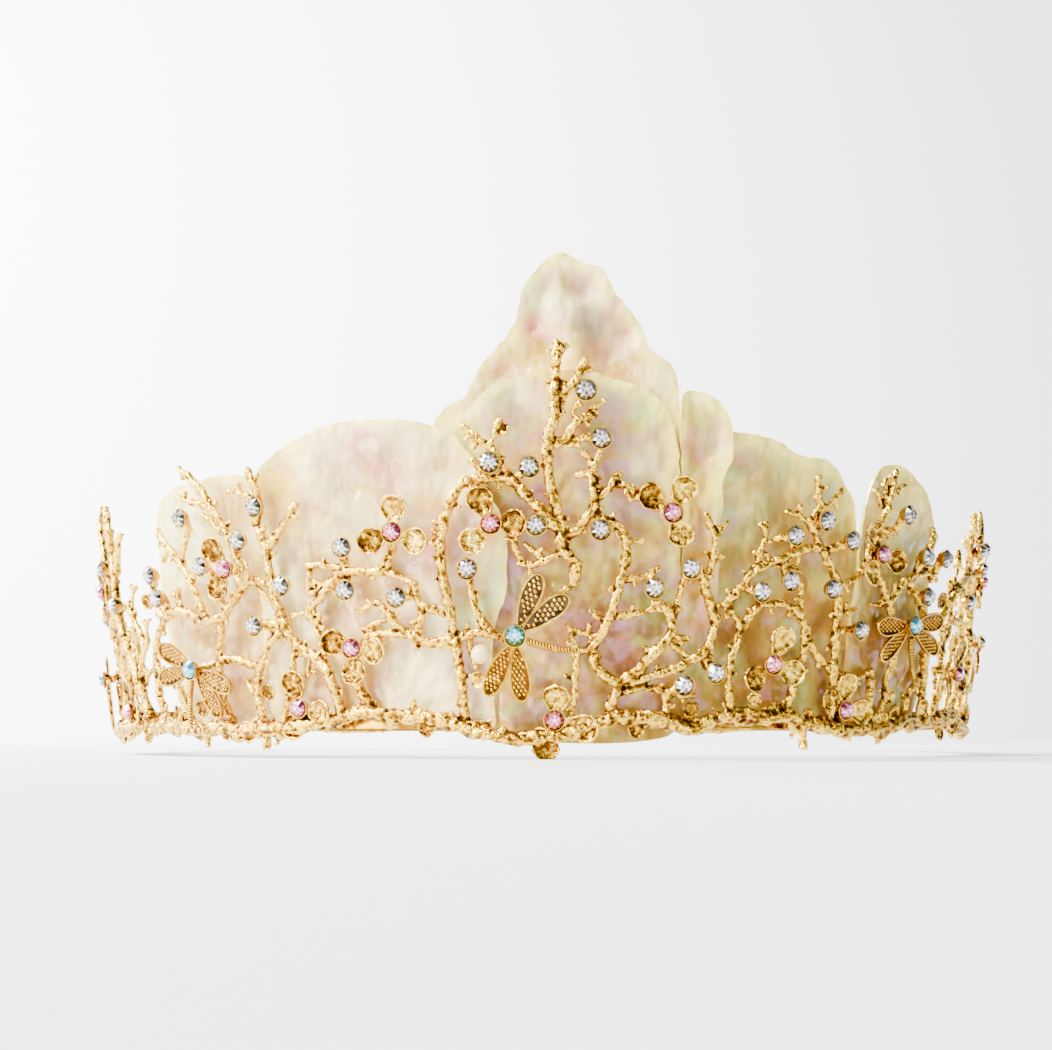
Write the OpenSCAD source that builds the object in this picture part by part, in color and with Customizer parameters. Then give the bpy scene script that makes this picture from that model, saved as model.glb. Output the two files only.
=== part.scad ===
// A crown of gilt coral twigs and mother-of-pearl shells, for a head of about 55 cm.
// Its front faces -Y, its middle is on the Z axis, and Z is zero at the hoop's lower edge.
// All places on it are given on its leaning wall: u is the arc from the front middle, measured
// at the band and positive to the viewer's right, and h is the height above the base line.

/* [Head hoop] */
// Radius of the hoop's inner wall
head_r = 88; // [84:0.5:92]
// Thickness of the flat strip
hoop_t = 0.8; // [0.6:0.1:1]
// Width of the strip, which is its height as worn
hoop_w = 3.4; // [3:0.1:4.5]
// Height of the strip's lower edge above the base line
hoop_h = 3.1; // [2.8:0.1:3.4]
// How far the lowest petal hangs below the base line
petal_drop = 2; // [1.6:0.1:2.6]

/* [Leaning wall] */
// How far the wall leans out for each millimetre of height
lean = 0.155; // [0.1:0.005:0.2]
// Height above which the wall leans
lean_from = 4; // [3:0.5:5]

/* [Coral twigs] */
// Thickness of the bark-covered branch along the band
branch_d = 2.4; // [2:0.1:2.8]
// Thickness of all twigs against the thickness in their tables
twig_swell = 1; // [0.9:0.05:1.1]
// How far a twig's middle stands off the wall, as a share of its length
twig_arch = 0.05; // [0:0.01:0.08]
// Sides of a twig
twig_sides = 4; // [4:1:5]

/* [Shells] */
// Thickness of a shell
shell_t = 1; // [0.8:0.1:1.1]
// Glue gap between a shell and what lies before or behind it
glue_gap = 0.3; // [0.25:0.05:0.4]

/* [Stones] */
// Width of the clear and the blue stones
stone_d = 3.2; // [2.8:0.1:3.4]
// Width of the pink stones
pink_d = 3; // [2.6:0.1:3.2]
// Height of a stone over its seat
stone_h = 1.2; // [1:0.1:1.4]
// Width of a stone's flat top against the whole stone
table_part = 0.56; // [0.5:0.02:0.62]
// Slope of the facets round the flat top
crown_slope = 36; // [30:1:40]
// Width of a round seat
seat_d = 3.8; // [3.6:0.1:4]
// How far a seat's top stands off the wall
seat_out = 1.6; // [1.4:0.1:2]
// Gap between a stone and its seat
set_gap = 0.1; // [0.05:0.05:0.15]

/* [Flowers] */
// Width of a petal
petal_w = 4.2; // [3.6:0.1:4.4]
// Thickness of a petal
petal_t = 0.8; // [0.7:0.1:1]
// How steeply a petal's tip is raised
petal_tilt = 10; // [5:1:15]

/* [Dragonflies] */
// Length of a wing
wing_l = 9.8; // [9:0.1:10.5]
// Width of a wing
wing_w = 3.8; // [3.4:0.1:4.2]
// Thickness of a wing with its rim
wing_t = 0.8; // [0.7:0.1:1]
// Width of the raised rim
rim_w = 0.4; // [0.3:0.05:0.5]
// How far a dragonfly's back stands off the wall
fly_out = 1.9; // [1.8:0.1:2.2]
// Beads in the tail
tail_beads = 9; // [6:1:10]

/* [Hidden] */
// Names of the nodes that repeat
SIDES = ["front", "left", "right", "far_left", "far_right"];
CLEAR = [for (k = [1:14]) str("clear_stone_", k)];
PINK = [for (k = [1:14]) str("pink_stone_", k)];
SHELLS = ["shell_crest", "shell_center", "shell_center_right", "shell_left", "shell_right",
    "shell_far_left", "shell_far_right"];

gold = "goldenrod";
hoop_r = head_r + hoop_t;
shell_r = hoop_r + glue_gap;
branch_r = branch_d / 2;
coral_gap = 0.2;
// Radius of the band branch's middle line, outside the hoop and the lowest ends of the shells
band_r = shell_r + shell_t + coral_gap + branch_r;
lean_deg = atan(lean);
// How far the far modules are turned on from the side modules, as arc at the band
far_left_u = -54;
far_right_u = 56.5;

// Radius of the twigs' middle surface at a height
function wall_r(h) = band_r + lean * max(0, h - lean_from);
// Arc at the band to degrees round the crown
function turn(u) = u / band_r * 180 / PI;
// A point of the wall, or out in front of it
function on_wall(u, h, out = 0) =
    let (r = wall_r(h) + out, a = turn(u)) [r * sin(a), -r * cos(a), h - hoop_h];
// The wall's outward direction
function wall_out(u) =
    let (a = turn(u)) [sin(a) * cos(lean_deg), -cos(a) * cos(lean_deg), -sin(lean_deg)];
function unit(v) = v / norm(v);

// Places its children on the wall: their X to the viewer's right, Y up and Z out of the wall
module at_wall(u, h, out = 0) {
    translate(on_wall(u, h, out)) rotate([0, 0, turn(u)]) rotate([90 + lean_deg, 0, 0]) children();
}

// Columns of a twig: where it starts, where it ends, how far its middle bows to the left of its
// way, and its radius at the start and at the end
U0 = 0;
H0 = 1;
U1 = 2;
H1 = 3;
BOW = 4;
R0 = 5;
R1 = 6;

function twig_r(t, s) = twig_swell * (t[R0] + (t[R1] - t[R0]) * s);
function twig_length(t) = norm([t[U1] - t[U0], t[H1] - t[H0]]);
// Middle of a twig at share s of its way: it lies against the wall's back and arches off it
function twig_point(t, s) =
    let (du = t[U1] - t[U0], dh = t[H1] - t[H0], swing = 4 * s * (1 - s), len = twig_length(t),
        side = t[BOW] * swing / len)
    on_wall(t[U0] + du * s - dh * side, t[H0] + dh * s + du * side,
        twig_r(t, s) - branch_r + twig_arch * len * swing);
// A ring round a twig at share s of its way, square to the way at share q
function twig_ring(t, s, q) =
    let (p = twig_point(t, s), way = unit(twig_point(t, q + 0.02) - twig_point(t, q - 0.02)),
        out = wall_out((t[U0] + t[U1]) / 2), side = unit(cross(out, way)), up = cross(way, side),
        r = twig_r(t, s))
    [for (k = [0:twig_sides - 1]) let (a = 360 * k / twig_sides) p + r * (cos(a) * side + sin(a) * up)];
// A twig that bows has a knee in its middle
function twig_steps(t) = t[BOW] == 0 ? 1 : 2;

// A tube of n stretches with m sides and flat ends, from its rings of points
module tube(rings, n, m) {
    walls = [for (i = [0:n - 1]) for (k = [0:m - 1])
        let (next = (k + 1) % m) [i * m + k, (i + 1) * m + k, (i + 1) * m + next, i * m + next]];
    root = [for (k = [0:m - 1]) k];
    tip = [for (k = [m - 1:-1:0]) n * m + k];
    polyhedron(rings, concat(walls, [root, tip]));
}
// A bent, tapering twig between two cut ends
module twig(t) {
    n = twig_steps(t);
    tube([for (i = [0:n]) each twig_ring(t, i / n, n == 1 ? 0.5 : i / n)], n, twig_sides);
}

// Columns of a stone's place: where it sits, and where its stalk leaves the twigs
SU = 0;
SH = 1;
FU = 2;
FH = 3;
stalk_r = 0.75;
seat_h = 0.8;

// A round seat that flares out from its root on the nearest twig
module seat(s, lift = 0) {
    hull() {
        at_wall(s[FU], s[FH], -branch_r / 2) cylinder(h = stalk_r, r = stalk_r, $fn = 3);
        at_wall(s[SU], s[SH], seat_out + lift - seat_h) cylinder(h = seat_h, d = seat_d, $fn = 6);
    }
}

// A cut stone with a flat top and eight facets round it
module stone(d, tint) {
    table_r = table_part * d / 2;
    color(tint) difference() {
        cylinder(h = stone_h, d = d, $fn = 32);
        for (k = [0:7])
            rotate([0, 0, 45 * k]) translate([table_r, 0, stone_h]) rotate([0, crown_slope, 0])
                translate([0, -d, 0]) cube([d, 2 * d, d]);
    }
}
module stone_at(s, d, tint, lift = 0) {
    at_wall(s[SU], s[SH], seat_out + lift + set_gap) stone(d, tint);
}

// Columns of a flower: its stone's place as above, then the way and the reach of each petal
PETALS = [4, 6, 8];

// A petal that leaves its seat along Y, with the middle of its round end at a reach
module petal(reach) {
    rotate([petal_tilt, 0, 0]) hull() {
        translate([0, seat_d * 0.35, 0]) cylinder(h = petal_t, d = petal_w * 0.4, $fn = 3);
        translate([0, reach, 0]) cylinder(h = petal_t, d = petal_w, $fn = 6);
    }
}
// Three petals on a seat; their tips stand off the wall
module flower(f) {
    seat(f);
    for (p = PETALS)
        at_wall(f[SU], f[SH], 0.2) rotate([0, 0, f[p] - 90]) petal(f[p + 1]);
}

// Columns of a branch along the band: arc and height of its middle
branch_sides = 5;
module band_branch(rows, inwards = 0) {
    n = len(rows) - 1;
    m = branch_sides;
    rings = [for (p = rows) let (out = wall_out(p[0])) for (k = [0:m - 1])
        on_wall(p[0], p[1], -inwards) + branch_r * (cos(360 * k / m) * out - sin(360 * k / m) * [0, 0, 1])];
    tube(rings, n, m);
}

// Front module: the tall middle trunk, its arches left and right, and the branch under them
front_branch = [[-32.4, 5.7], [-22, 5.2], [-16, 4.7], [-9.6, 2.4], [-3, 1.6], [3.6, 1.8], [8, 3.2],
    [14, 4.7], [20.6, 4.7], [25.4, 2.9], [31.6, 5]];
front_twigs = [
    // trunk and its fork
    [5.4, 26.5, 3.5, 36.5, 0, 1, 1.1], [3.5, 36.5, 1.1, 50, 0, 1.1, 1], [1.1, 50, 2.3, 59.5, 0, 1, 0.9],
    [2.3, 59.5, 2.7, 67, 0, 0.9, 0.75], [2.4, 57.6, 6.9, 64.4, -0.8, 0.8, 0.65],
    // twigs right of the trunk
    [1.1, 50.1, 5.8, 53.9, -0.8, 0.85, 0.75], [5.8, 53.9, 9, 55.1, 0, 0.7, 0.55],
    [3, 50.3, 7.6, 51, 0, 0.75, 0.7], [3.6, 34.8, 8.3, 40.6, -0.9, 1, 0.9],
    [8.3, 40.6, 6.9, 49, 0, 0.9, 0.6], [8.3, 40.8, 12.8, 45.6, 0, 0.7, 0.5],
    [11, 42.6, 16, 42, 0.9, 0.65, 0.6],
    // twigs left of the trunk
    [3.3, 35.6, -4.4, 43.9, 0, 1.1, 0.95], [-4.4, 43.9, -8.6, 44.6, 0, 0.95, 0.9],
    [-4.4, 43.9, -8, 49.6, 0, 0.8, 0.75], [-8, 49.4, -12.2, 53.6, 0, 0.75, 0.55],
    [-8, 49.6, -5.9, 54.3, 0, 0.7, 0.6],
    // arch on the left, down to the band
    [-8.6, 44.6, -14.6, 39.4, -1.3, 0.9, 0.95], [-14.6, 39.4, -14.1, 18.4, -1.4, 0.95, 1],
    [-14.1, 18.4, -12.4, 3.4, 0, 0.95, 0.9], [-14.3, 18.4, -6.2, 18, 0, 0.9, 0.75],
    [-11.9, 18.2, -10.6, 12.8, 0, 0.6, 0.55], [-11.4, 28.2, -7.6, 18.4, -0.7, 0.7, 0.8],
    // arch on the right, down to the band
    [8.2, 38.8, 13.9, 31.6, 1.5, 0.65, 0.85], [13.8, 32.1, 11.9, 23.2, 0, 0.8, 0.9],
    [11.9, 23.2, 8.2, 16.8, 0, 0.9, 0.9], [8.4, 17.2, 12.8, 10.2, -1.2, 0.8, 0.9],
    [13.6, 10.6, 11, 4, 0, 0.9, 1], [8.4, 16.4, 6.2, 15.6, 0, 0.7, 0.65], [6.4, 15.8, 5, 2.8, 0, 0.65, 0.8],
    [12.8, 27.3, 19.8, 29.8, 0, 0.65, 0.45], [11.8, 21.8, 19.4, 23.2, 0, 0.6, 0.6],
    // twigs under the trunk
    [-4.2, 35.2, -2.8, 30.6, 0, 0.6, 0.55], [-3.8, 30.2, 4.2, 32.4, 0, 0.55, 0.75],
    // right of the arch
    [12.4, 10.2, 20.4, 17.4, 0, 1, 0.95], [20.4, 17.4, 20.6, 23.2, -0.9, 0.95, 0.8],
    [12.2, 8.6, 21, 9.2, 0, 0.6, 0.65], [12.8, 10.4, 22.7, 13.3, 0, 0.75, 0.9],
    [22.7, 13.3, 29.7, 21.4, -0.9, 0.9, 1], [29.7, 21.2, 26, 30.4, 0, 1, 0.85],
    [26.4, 29.2, 28.7, 34.3, 0, 0.8, 0.75], [21.3, 20.2, 23.6, 27.4, 0, 0.75, 0.65],
    [21.6, 9.4, 21.3, 4.6, 0, 0.75, 0.8],
    // left part, from the band up
    [-28.6, 5.4, -31.2, 10.4, 0, 0.8, 0.7], [-31.2, 10.2, -29.6, 18.4, -0.8, 0.7, 0.7],
    [-29.6, 18.4, -21.8, 18.8, 0, 0.75, 0.75], [-22.4, 19, -14.4, 18.2, -0.9, 0.85, 0.9],
    [-30.8, 22.4, -22.2, 18.9, 0.8, 0.5, 0.8], [-20.4, 18.2, -19.4, 24, 0, 0.6, 0.7],
    [-19.6, 23.4, -24.6, 29.2, -0.7, 0.75, 0.7], [-40, 31, -33.2, 30, 0, 0.6, 0.75],
    [-34.6, 29.3, -24.8, 29.4, -0.7, 0.8, 0.75], [-25, 29.2, -24.2, 33.4, 0, 0.7, 0.65]];
front_clear = [[6.9, 58.5, 5.4, 60.3], [9.3, 50.7, 7.4, 51], [-7.7, 46.7, -6.4, 46.9],
    [-1.6, 45.9, -4.2, 44.1], [-0.6, 36.4, 2.4, 36.9], [9.4, 35.7, 11.8, 36.3],
    [-11.4, 29.3, -11.4, 27.9], [18.2, 26.3, 18.2, 29], [24.2, 29.7, 23.4, 27], [23.7, 10.3, 21.7, 9.2],
    [-32.1, 33.5, -33, 30.2], [-31.9, 26.3, -33.2, 29.1], [-23.1, 24.9, -21, 25.2],
    [29.2, 12.4, 27.2, 16.2]];
front_flowers = [[-23.4, 35.7, -24.4, 32.8, 86, 4.1, 197, 4.2, 338, 4.1],
    [-7.6, 36.7, -10.6, 43.9, 114, 4.4, 2, 3.7, 222, 4.1],
    [20.8, 38.8, 15.4, 41.6, 65, 4.5, 145, 4.6, 296, 3.8],
    [2.3, 4.5, 2.3, 2, 85, 3.6, 253, 4.6, 345, 5.2],
    [-31.3, 16.6, -30.2, 14.6, 164, 3.7, 352, 3.8, 270, 4]];

// Side module on the left, with its leaning main stem; the far one has its main twigs only
left_branch = [[-86.4, 3], [-74, 3.4], [-66, 2.7], [-60, 3.3], [-52, 2.9], [-44, 3.2], [-38, 4.4],
    [-32.8, 5.5]];
left_main = [
    // main stem and its peak
    [-34.6, 5.2, -37.4, 13.9, 0, 1, 1], [-37.4, 13.9, -43.3, 18, 0, 1, 1],
    [-43.3, 18, -47.9, 35.2, 0.8, 1.05, 1], [-47.7, 34.8, -50.2, 39, 0, 0.9, 0.75],
    [-50, 38.8, -48.6, 43.4, 0, 0.8, 0.7], [-48.5, 42.8, -51, 48.5, 0, 0.66, 0.6],
    // second stem and its peak
    [-46.8, 26.8, -53.9, 28.1, -1, 0.85, 0.9], [-53.9, 27.8, -54.1, 33.2, 0, 0.9, 0.9],
    [-54.1, 33, -57.7, 39.9, 0, 0.9, 0.85], [-57.6, 39.8, -68.4, 50.8, 0.9, 0.85, 0.6],
    [-53.9, 28.1, -58.7, 23.3, 0, 0.85, 0.8], [-58.6, 23.4, -65.6, 22.3, 0, 0.8, 0.75],
    [-58.6, 23.4, -61.6, 31, 0, 0.7, 0.65], [-59.8, 23, -61.4, 15.4, 0, 0.7, 0.7],
    [-61.4, 15.4, -58.6, 3.4, 0.9, 0.75, 0.8],
    // far half
    [-65.1, 22.5, -77.8, 23.6, -1.6, 0.75, 0.8], [-64.4, 22.7, -70, 33.6, 0.9, 0.7, 0.8],
    [-69.8, 33.2, -77.6, 40.6, 0, 0.8, 0.55], [-70, 33.2, -66.8, 39.8, 0, 0.65, 0.55],
    [-77.4, 23.2, -81.6, 31.4, -0.7, 0.75, 0.6], [-77.6, 23.8, -83.2, 14.6, 0.7, 0.75, 0.75],
    [-83.2, 15, -80.6, 3.6, 0, 0.8, 0.8]];
left_fine = [[-47.6, 34.5, -41.2, 41.8, 0, 0.8, 0.6], [-48.8, 43.3, -55.8, 45.2, 0, 0.65, 0.5],
    [-60.2, 42.6, -69.9, 45.6, 0, 0.65, 0.5], [-61.6, 15.4, -51.2, 13.8, -0.8, 0.8, 0.7],
    [-51.4, 14.2, -50, 3.2, 0.7, 0.7, 0.8], [-44.6, 20.4, -51.6, 13.6, 0.8, 0.7, 0.7]];
left_clear = [[-44, 27.6, -45.8, 27.2], [-48.4, 41.5, -49, 40.6], [-52.4, 35.9, -54.6, 35],
    [-66.4, 41.2, -67, 39], [-62, 32.1, -61.4, 30.6], [-50.3, 21, -44.4, 21.4], [-76, 27.4, -75.6, 23.6],
    [-78, 31.8, -80.8, 30.2]];
left_flowers = [[-42.2, 6.7, -41.6, 3.8, 103, 4.4, 243, 3.5, 347, 4.1],
    [-56.1, 31.2, -54.2, 31, 130, 4.8, 230, 4, 350, 3.7]];

// Side module on the right, with its three lower peaks; the far one has its main twigs only
right_branch = [[32, 5.1], [40, 4.9], [44, 5.5], [48, 4], [54, 3.3], [62, 3], [70, 3.4], [76, 5],
    [88, 4.6]];
right_main = [
    // stem from the band and the long branch on the left
    [33, 5.2, 34.4, 20.2, 0.9, 0.8, 0.7], [34.4, 19.8, 31.4, 24.2, 0, 0.7, 0.7],
    [31.4, 24, 36, 29.7, 0, 0.75, 0.8], [36, 29.7, 42, 32.8, 0, 0.85, 0.8],
    [42, 32.7, 49.3, 34.8, 0, 0.8, 0.85], [36, 29.5, 38.1, 38, 0, 0.65, 0.55],
    [37.4, 24.2, 43.8, 24, 0, 0.75, 0.8], [43.7, 24, 47.4, 20.3, 0, 0.8, 0.85],
    [47.2, 20.8, 46.2, 13.2, 0, 0.8, 0.7], [46.2, 13.6, 43.2, 5.2, 0, 0.7, 0.8],
    // first peak and its stem
    [49.3, 34.7, 46.2, 39.2, 0, 0.75, 0.65], [46.4, 38.9, 49.2, 41.8, 0, 0.7, 0.7],
    [49.2, 41.6, 47.6, 46.7, 0, 0.75, 0.65], [49.3, 34.8, 53.2, 29.2, 0, 0.8, 0.85],
    [53.2, 29.6, 53.4, 17.4, 0, 0.9, 0.85], [53.4, 17.6, 54, 3.2, 0, 0.85, 0.9],
    // second peak
    [53.2, 29.2, 60.4, 31.6, 0, 0.75, 0.75], [60, 31.6, 64.2, 29.5, 0, 0.7, 0.7],
    [64, 29.8, 67.4, 25.8, 0, 0.75, 0.75], [67.2, 25.8, 72, 30.5, 0, 0.8, 0.8],
    [60.2, 31.4, 63, 40.4, 0.8, 0.8, 0.8], [63, 40.2, 66.6, 50, 0, 0.8, 0.6],
    [62.8, 39, 68.4, 38.6, 0, 0.65, 0.6], [67.4, 26, 69.2, 12, -0.9, 0.7, 0.65],
    [69.2, 12.4, 67.8, 3.4, 0, 0.65, 0.7],
    // third peak and far half
    [72, 30.4, 78.8, 32.4, 0, 0.8, 0.8], [78.6, 32, 80.8, 41, 0, 0.8, 0.6],
    [78.5, 32.4, 84.6, 31.4, 0, 0.65, 0.55], [72, 30.7, 80.8, 22, 0.9, 0.75, 0.8],
    [80.6, 22.4, 82.4, 4.6, 0.7, 0.8, 0.85]];
right_fine = [[34.2, 19.8, 37.6, 24.4, 0, 0.75, 0.75], [37.4, 35, 41.2, 35.4, 0, 0.55, 0.5],
    [47.2, 20.6, 54, 13, 0, 0.8, 0.8], [46.6, 38.8, 41.6, 40.4, 0, 0.6, 0.5],
    [49.2, 41, 53.6, 45.2, 0, 0.65, 0.5], [53.3, 13.6, 64, 13.4, -1.2, 0.7, 0.75],
    [63.9, 13.8, 64.5, 3, 0, 0.75, 0.8], [64.4, 45.4, 69.4, 47.6, 0, 0.6, 0.5]];
right_clear = [[36.8, 26.2, 34, 27.1], [42.2, 28.2, 41.4, 32.3], [42.6, 36, 39.8, 35.3],
    [48.7, 38.9, 47.6, 38.2], [51.1, 27.3, 53, 27.4], [54.7, 35.9, 50.2, 33.8], [58.3, 20.5, 54, 20.4],
    [68.4, 41.8, 67.2, 38.6], [75.6, 34.8, 75.5, 31], [83, 35.2, 82.4, 31.6], [77.4, 27.6, 76, 28.4]];
right_flowers = [[39.8, 14, 46.4, 14.6, 68, 4.8, 217, 4, 343, 4.4],
    [62.4, 34.2, 61.2, 33, 123, 4.4, 349, 4.5, 240, 4],
    [56.3, 6.4, 55, 3.8, 87, 4.3, 357, 4.3, 150, 4]];

// Columns of a dragonfly: where its blue stone sits, where its post leaves the twigs, and the
// way of its tail
TAIL = 4;
front_fly = [-3.9, 18.3, -6.8, 18, -24];
left_fly = [-65.7, 13.8, -61.8, 15.2, -112];
right_fly = [71.4, 21.9, 67.5, 20.4, -84];

// The same place turned on round the crown, for the modules that repeat
function moved(s, by) = [s[SU] + by, s[SH], s[FU] + by, s[FH]];
function moved_flower(f, by) = concat(moved(f, by), [for (k = [4:9]) f[k]]);
function moved_fly(f, by) = concat(moved(f, by), [f[TAIL]]);
function moved_twig(t, by) = [t[U0] + by, t[H0], t[U1] + by, t[H1], t[BOW], t[R0], t[R1]];

// Tables of the five modules, in the order of SIDES
branches = [front_branch, left_branch, right_branch, [for (p = left_branch) p + [far_left_u, 0]],
    [for (p = right_branch) p + [far_right_u, 0]]];
twigs = [front_twigs, concat(left_main, left_fine), concat(right_main, right_fine),
    [for (t = left_main) moved_twig(t, far_left_u)], [for (t = right_main) moved_twig(t, far_right_u)]];
clears = [front_clear, left_clear, right_clear,
    [for (k = [0:2:len(left_clear) - 1]) moved(left_clear[k], far_left_u)],
    [for (k = [1:2:len(right_clear) - 1]) moved(right_clear[k], far_right_u)]];
flowers = [front_flowers, left_flowers, right_flowers,
    [for (f = left_flowers) moved_flower(f, far_left_u)],
    [for (f = right_flowers) moved_flower(f, far_right_u)]];
flies = [front_fly, left_fly, right_fly, moved_fly(left_fly, far_left_u), moved_fly(right_fly, far_right_u)];
blooms = [for (side = flowers) each side];

post_lift = fly_out - 0.2 - seat_out;

// One cast module: the band branch, the twigs, the seats, the flowers and the dragonfly's post
module coral(i) {
    color(gold) union() {
        band_branch(branches[i]);
        for (t = twigs[i]) twig(t);
        for (s = clears[i]) seat(s);
        for (f = flowers[i]) flower(f);
        seat(flies[i], post_lift);
        if (i == 0) seat(bead_place, -0.6);
    }
}

// Round cream bead beside the front dragonfly
bead_place = [-9.4, 15.2, -11.2, 15.4];
bead_d = 3.2;
module cream_bead() {
    color("ivory") at_wall(bead_place[SU], bead_place[SH], seat_out - 0.6 + set_gap + bead_d / 2)
        sphere(d = bead_d, $fn = 32);
}

// Outline of a wing from its root, broad towards its tip
function wing_outline(l, w) = [for (a = [0:24:359])
    let (s = (1 - cos(a)) / 2) [w / 2 * sin(a) * (0.55 + 0.55 * s), l * s]];

module wing() {
    difference() {
        linear_extrude(wing_t) polygon(wing_outline(wing_l, wing_w));
        translate([0, rim_w * 1.4, wing_t - 0.3])
            linear_extrude(1) polygon(wing_outline(wing_l - 2.4 * rim_w, wing_w - 2 * rim_w));
    }
}

thorax_d = 3.7;
thorax_h = 1.2;
tail_pitch = 1.05;
// A cast dragonfly: a thorax that carries a stone, four wings and a beaded, bent tail
module dragonfly(i) {
    f = flies[i];
    color(gold) at_wall(f[SU], f[SH], fly_out) rotate([0, 0, f[TAIL]]) {
        cylinder(h = thorax_h, d = thorax_d, $fn = 32);
        for (side = [-1, 1]) for (spread = [60, 92])
            rotate([0, 0, side * spread - 90]) translate([0, 1.3, 0]) wing();
        for (k = [1:tail_beads])
            rotate([0, 0, 1.2 * k]) translate([thorax_d / 2 - 0.6 + k * tail_pitch, 0, 0.6])
                sphere(r = 0.72 - 0.02 * k, $fn = 24);
    }
}
module blue_stone(i) {
    f = flies[i];
    at_wall(f[SU], f[SH], fly_out + thorax_h + set_gap) stone(stone_d, "deepskyblue");
}

// Depth of a shell layer's face behind the wall's middle surface, from the front layer back
function layer(n) = branch_r + coral_gap + (n - 1) * (shell_t + glue_gap);
// Radius of a layer's front at a height: it follows the wall until it meets the hoop
function layer_r(n, h) = max(shell_r + shell_t, wall_r(h) - layer(n));
// Height at which a layer leaves the hoop
function layer_knee(n) = lean_from + (shell_r + shell_t + layer(n) - band_r) / lean;

// An outline with its corners rounded by cutting them twice
function cut_corners(p) = [for (i = [0:len(p) - 1]) let (a = p[i], b = p[(i + 1) % len(p)])
    each [a * 0.75 + b * 0.25, a * 0.25 + b * 0.75]];

// Height from which a shell's sheet starts, under all outlines
shell_low = -1.5;
// A shell: the outline, in arc and height, cut out of its layer of the wall
module shell(outline, n, top, tint) {
    us = [for (p = outline) p[0]];
    mid = (min(us) + max(us)) / 2;
    knee = layer_knee(n);
    heights = [shell_low, knee, top];
    wall = concat([for (h = heights) [layer_r(n, h), h]],
        [for (k = [len(heights) - 1:-1:0]) [layer_r(n, heights[k]) - shell_t, heights[k]]]);
    flat = [for (p = cut_corners(outline))
        [layer_r(n, p[1]) * sin(turn(p[0] - mid)), p[1]]];
    color(tint) translate([0, 0, -hoop_h]) rotate([0, 0, turn(mid)]) intersection() {
        rotate([0, 0, -150]) rotate_extrude(angle = 120, $fn = 180) polygon(wall);
        rotate([90, 0, 0]) linear_extrude(130) polygon(flat);
    }
}

// Outlines of the shells, in arc and height
crest_outline = [[-13, 22], [-17, 30], [-19, 46], [-18.4, 54], [-15.4, 57.8], [-12.2, 58.6],
    [-11.4, 61.4], [-8, 66.4], [-4.2, 70.6], [-2.9, 76], [1.2, 82], [3.6, 83.2], [7, 81.2], [10.2, 81],
    [11.4, 77], [16.4, 71.6], [18, 66.6], [21, 65.2], [23, 62.4], [23.5, 58], [25.2, 50], [25.6, 40],
    [25.4, 26], [22, 22.4]];
center_outline = [[-6.7, 1.2], [-7.5, 9], [-7.4, 14], [-12, 20], [-14.6, 34], [-14.8, 50], [-13.4, 55],
    [-9.8, 59], [-6, 61.6], [5.6, 63.2], [13.2, 61.4], [17.8, 59.8], [20.6, 57], [22.6, 53.4], [23, 49.6],
    [23.5, 36], [24, 22], [23.6, 8], [23.4, 2.2], [19, 1], [10, 0.2]];
center_right_outline = [[24.2, 1.8], [24.6, 22], [24.2, 36], [23.7, 46], [23.6, 52], [23.2, 57], [24, 60.4],
    [27, 60.8], [29.6, 58.8], [31.6, 56], [32.8, 53], [32.6, 49], [30.8, 45.6], [31.2, 36], [30.6, 22],
    [30.2, 12], [30, 1.6]];
left_outline = [[-7.4, 1], [-8.4, 10], [-8, 20], [-5.6, 26], [-5, 35], [-7.6, 42], [-11.6, 50.6],
    [-17.4, 54.4], [-31, 55.8], [-40, 53.8], [-47.6, 50.8], [-51, 46.8], [-52, 38], [-50.8, 14], [-50.6, 3.2],
    [-26, 2.8]];
right_outline = [[30.8, 2.6], [30.9, 14], [31, 22], [28, 27], [26.6, 36], [27, 48], [31, 54.6], [42.6, 53.2],
    [46.4, 51.2], [51.6, 50.9], [55, 49.6], [60.8, 44.4], [62, 40], [64, 34], [64, 24], [62, 16],
    [58.2, 14], [58.2, 2.6], [42, 2]];
far_left_outline = [[-51.5, 2], [-51.7, 14], [-47, 17], [-45.4, 28], [-46, 40], [-51, 46.4], [-56, 48.6],
    [-65, 49], [-79.6, 47.6], [-83, 44], [-83.6, 36], [-82, 20], [-78, 2.2]];
far_right_outline = [[59, 2], [59, 22], [60.4, 40], [61.8, 47], [64.4, 50.8], [70, 52], [75, 50.4],
    [80, 46.4], [84.6, 40], [86, 22], [83, 2.4]];

module shell_crest() shell(crest_outline, 3, 84, "cornsilk");
module shell_center() shell(center_outline, 2, 66, "seashell");
module shell_center_right() shell(center_right_outline, 2, 66, "cornsilk");
module shell_left() shell(left_outline, 1, 60, "ivory");
module shell_right() shell(right_outline, 3, 60, "beige");
module shell_far_left() shell(far_left_outline, 2, 56, "ivory");
module shell_far_right() shell(far_right_outline, 1, 56, "beige");

// Flat strip round the head
module hoop() {
    color(gold) difference() {
        cylinder(h = hoop_w, r = hoop_r, $fn = 180);
        translate([0, 0, -1]) cylinder(h = hoop_w + 2, r = head_r, $fn = 180);
    }
}

// Plain branch that closes the crown at the back, between the ends of the far modules
back_from = right_branch[8][0] + far_right_u + 0.4;
back_to = left_branch[0][0] + far_left_u - 0.4 + 2 * PI * band_r;
back_bends = 14;
// How far the plain branch's line lies inside the front one's, close to the hoop
back_in = 0.6;
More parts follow.
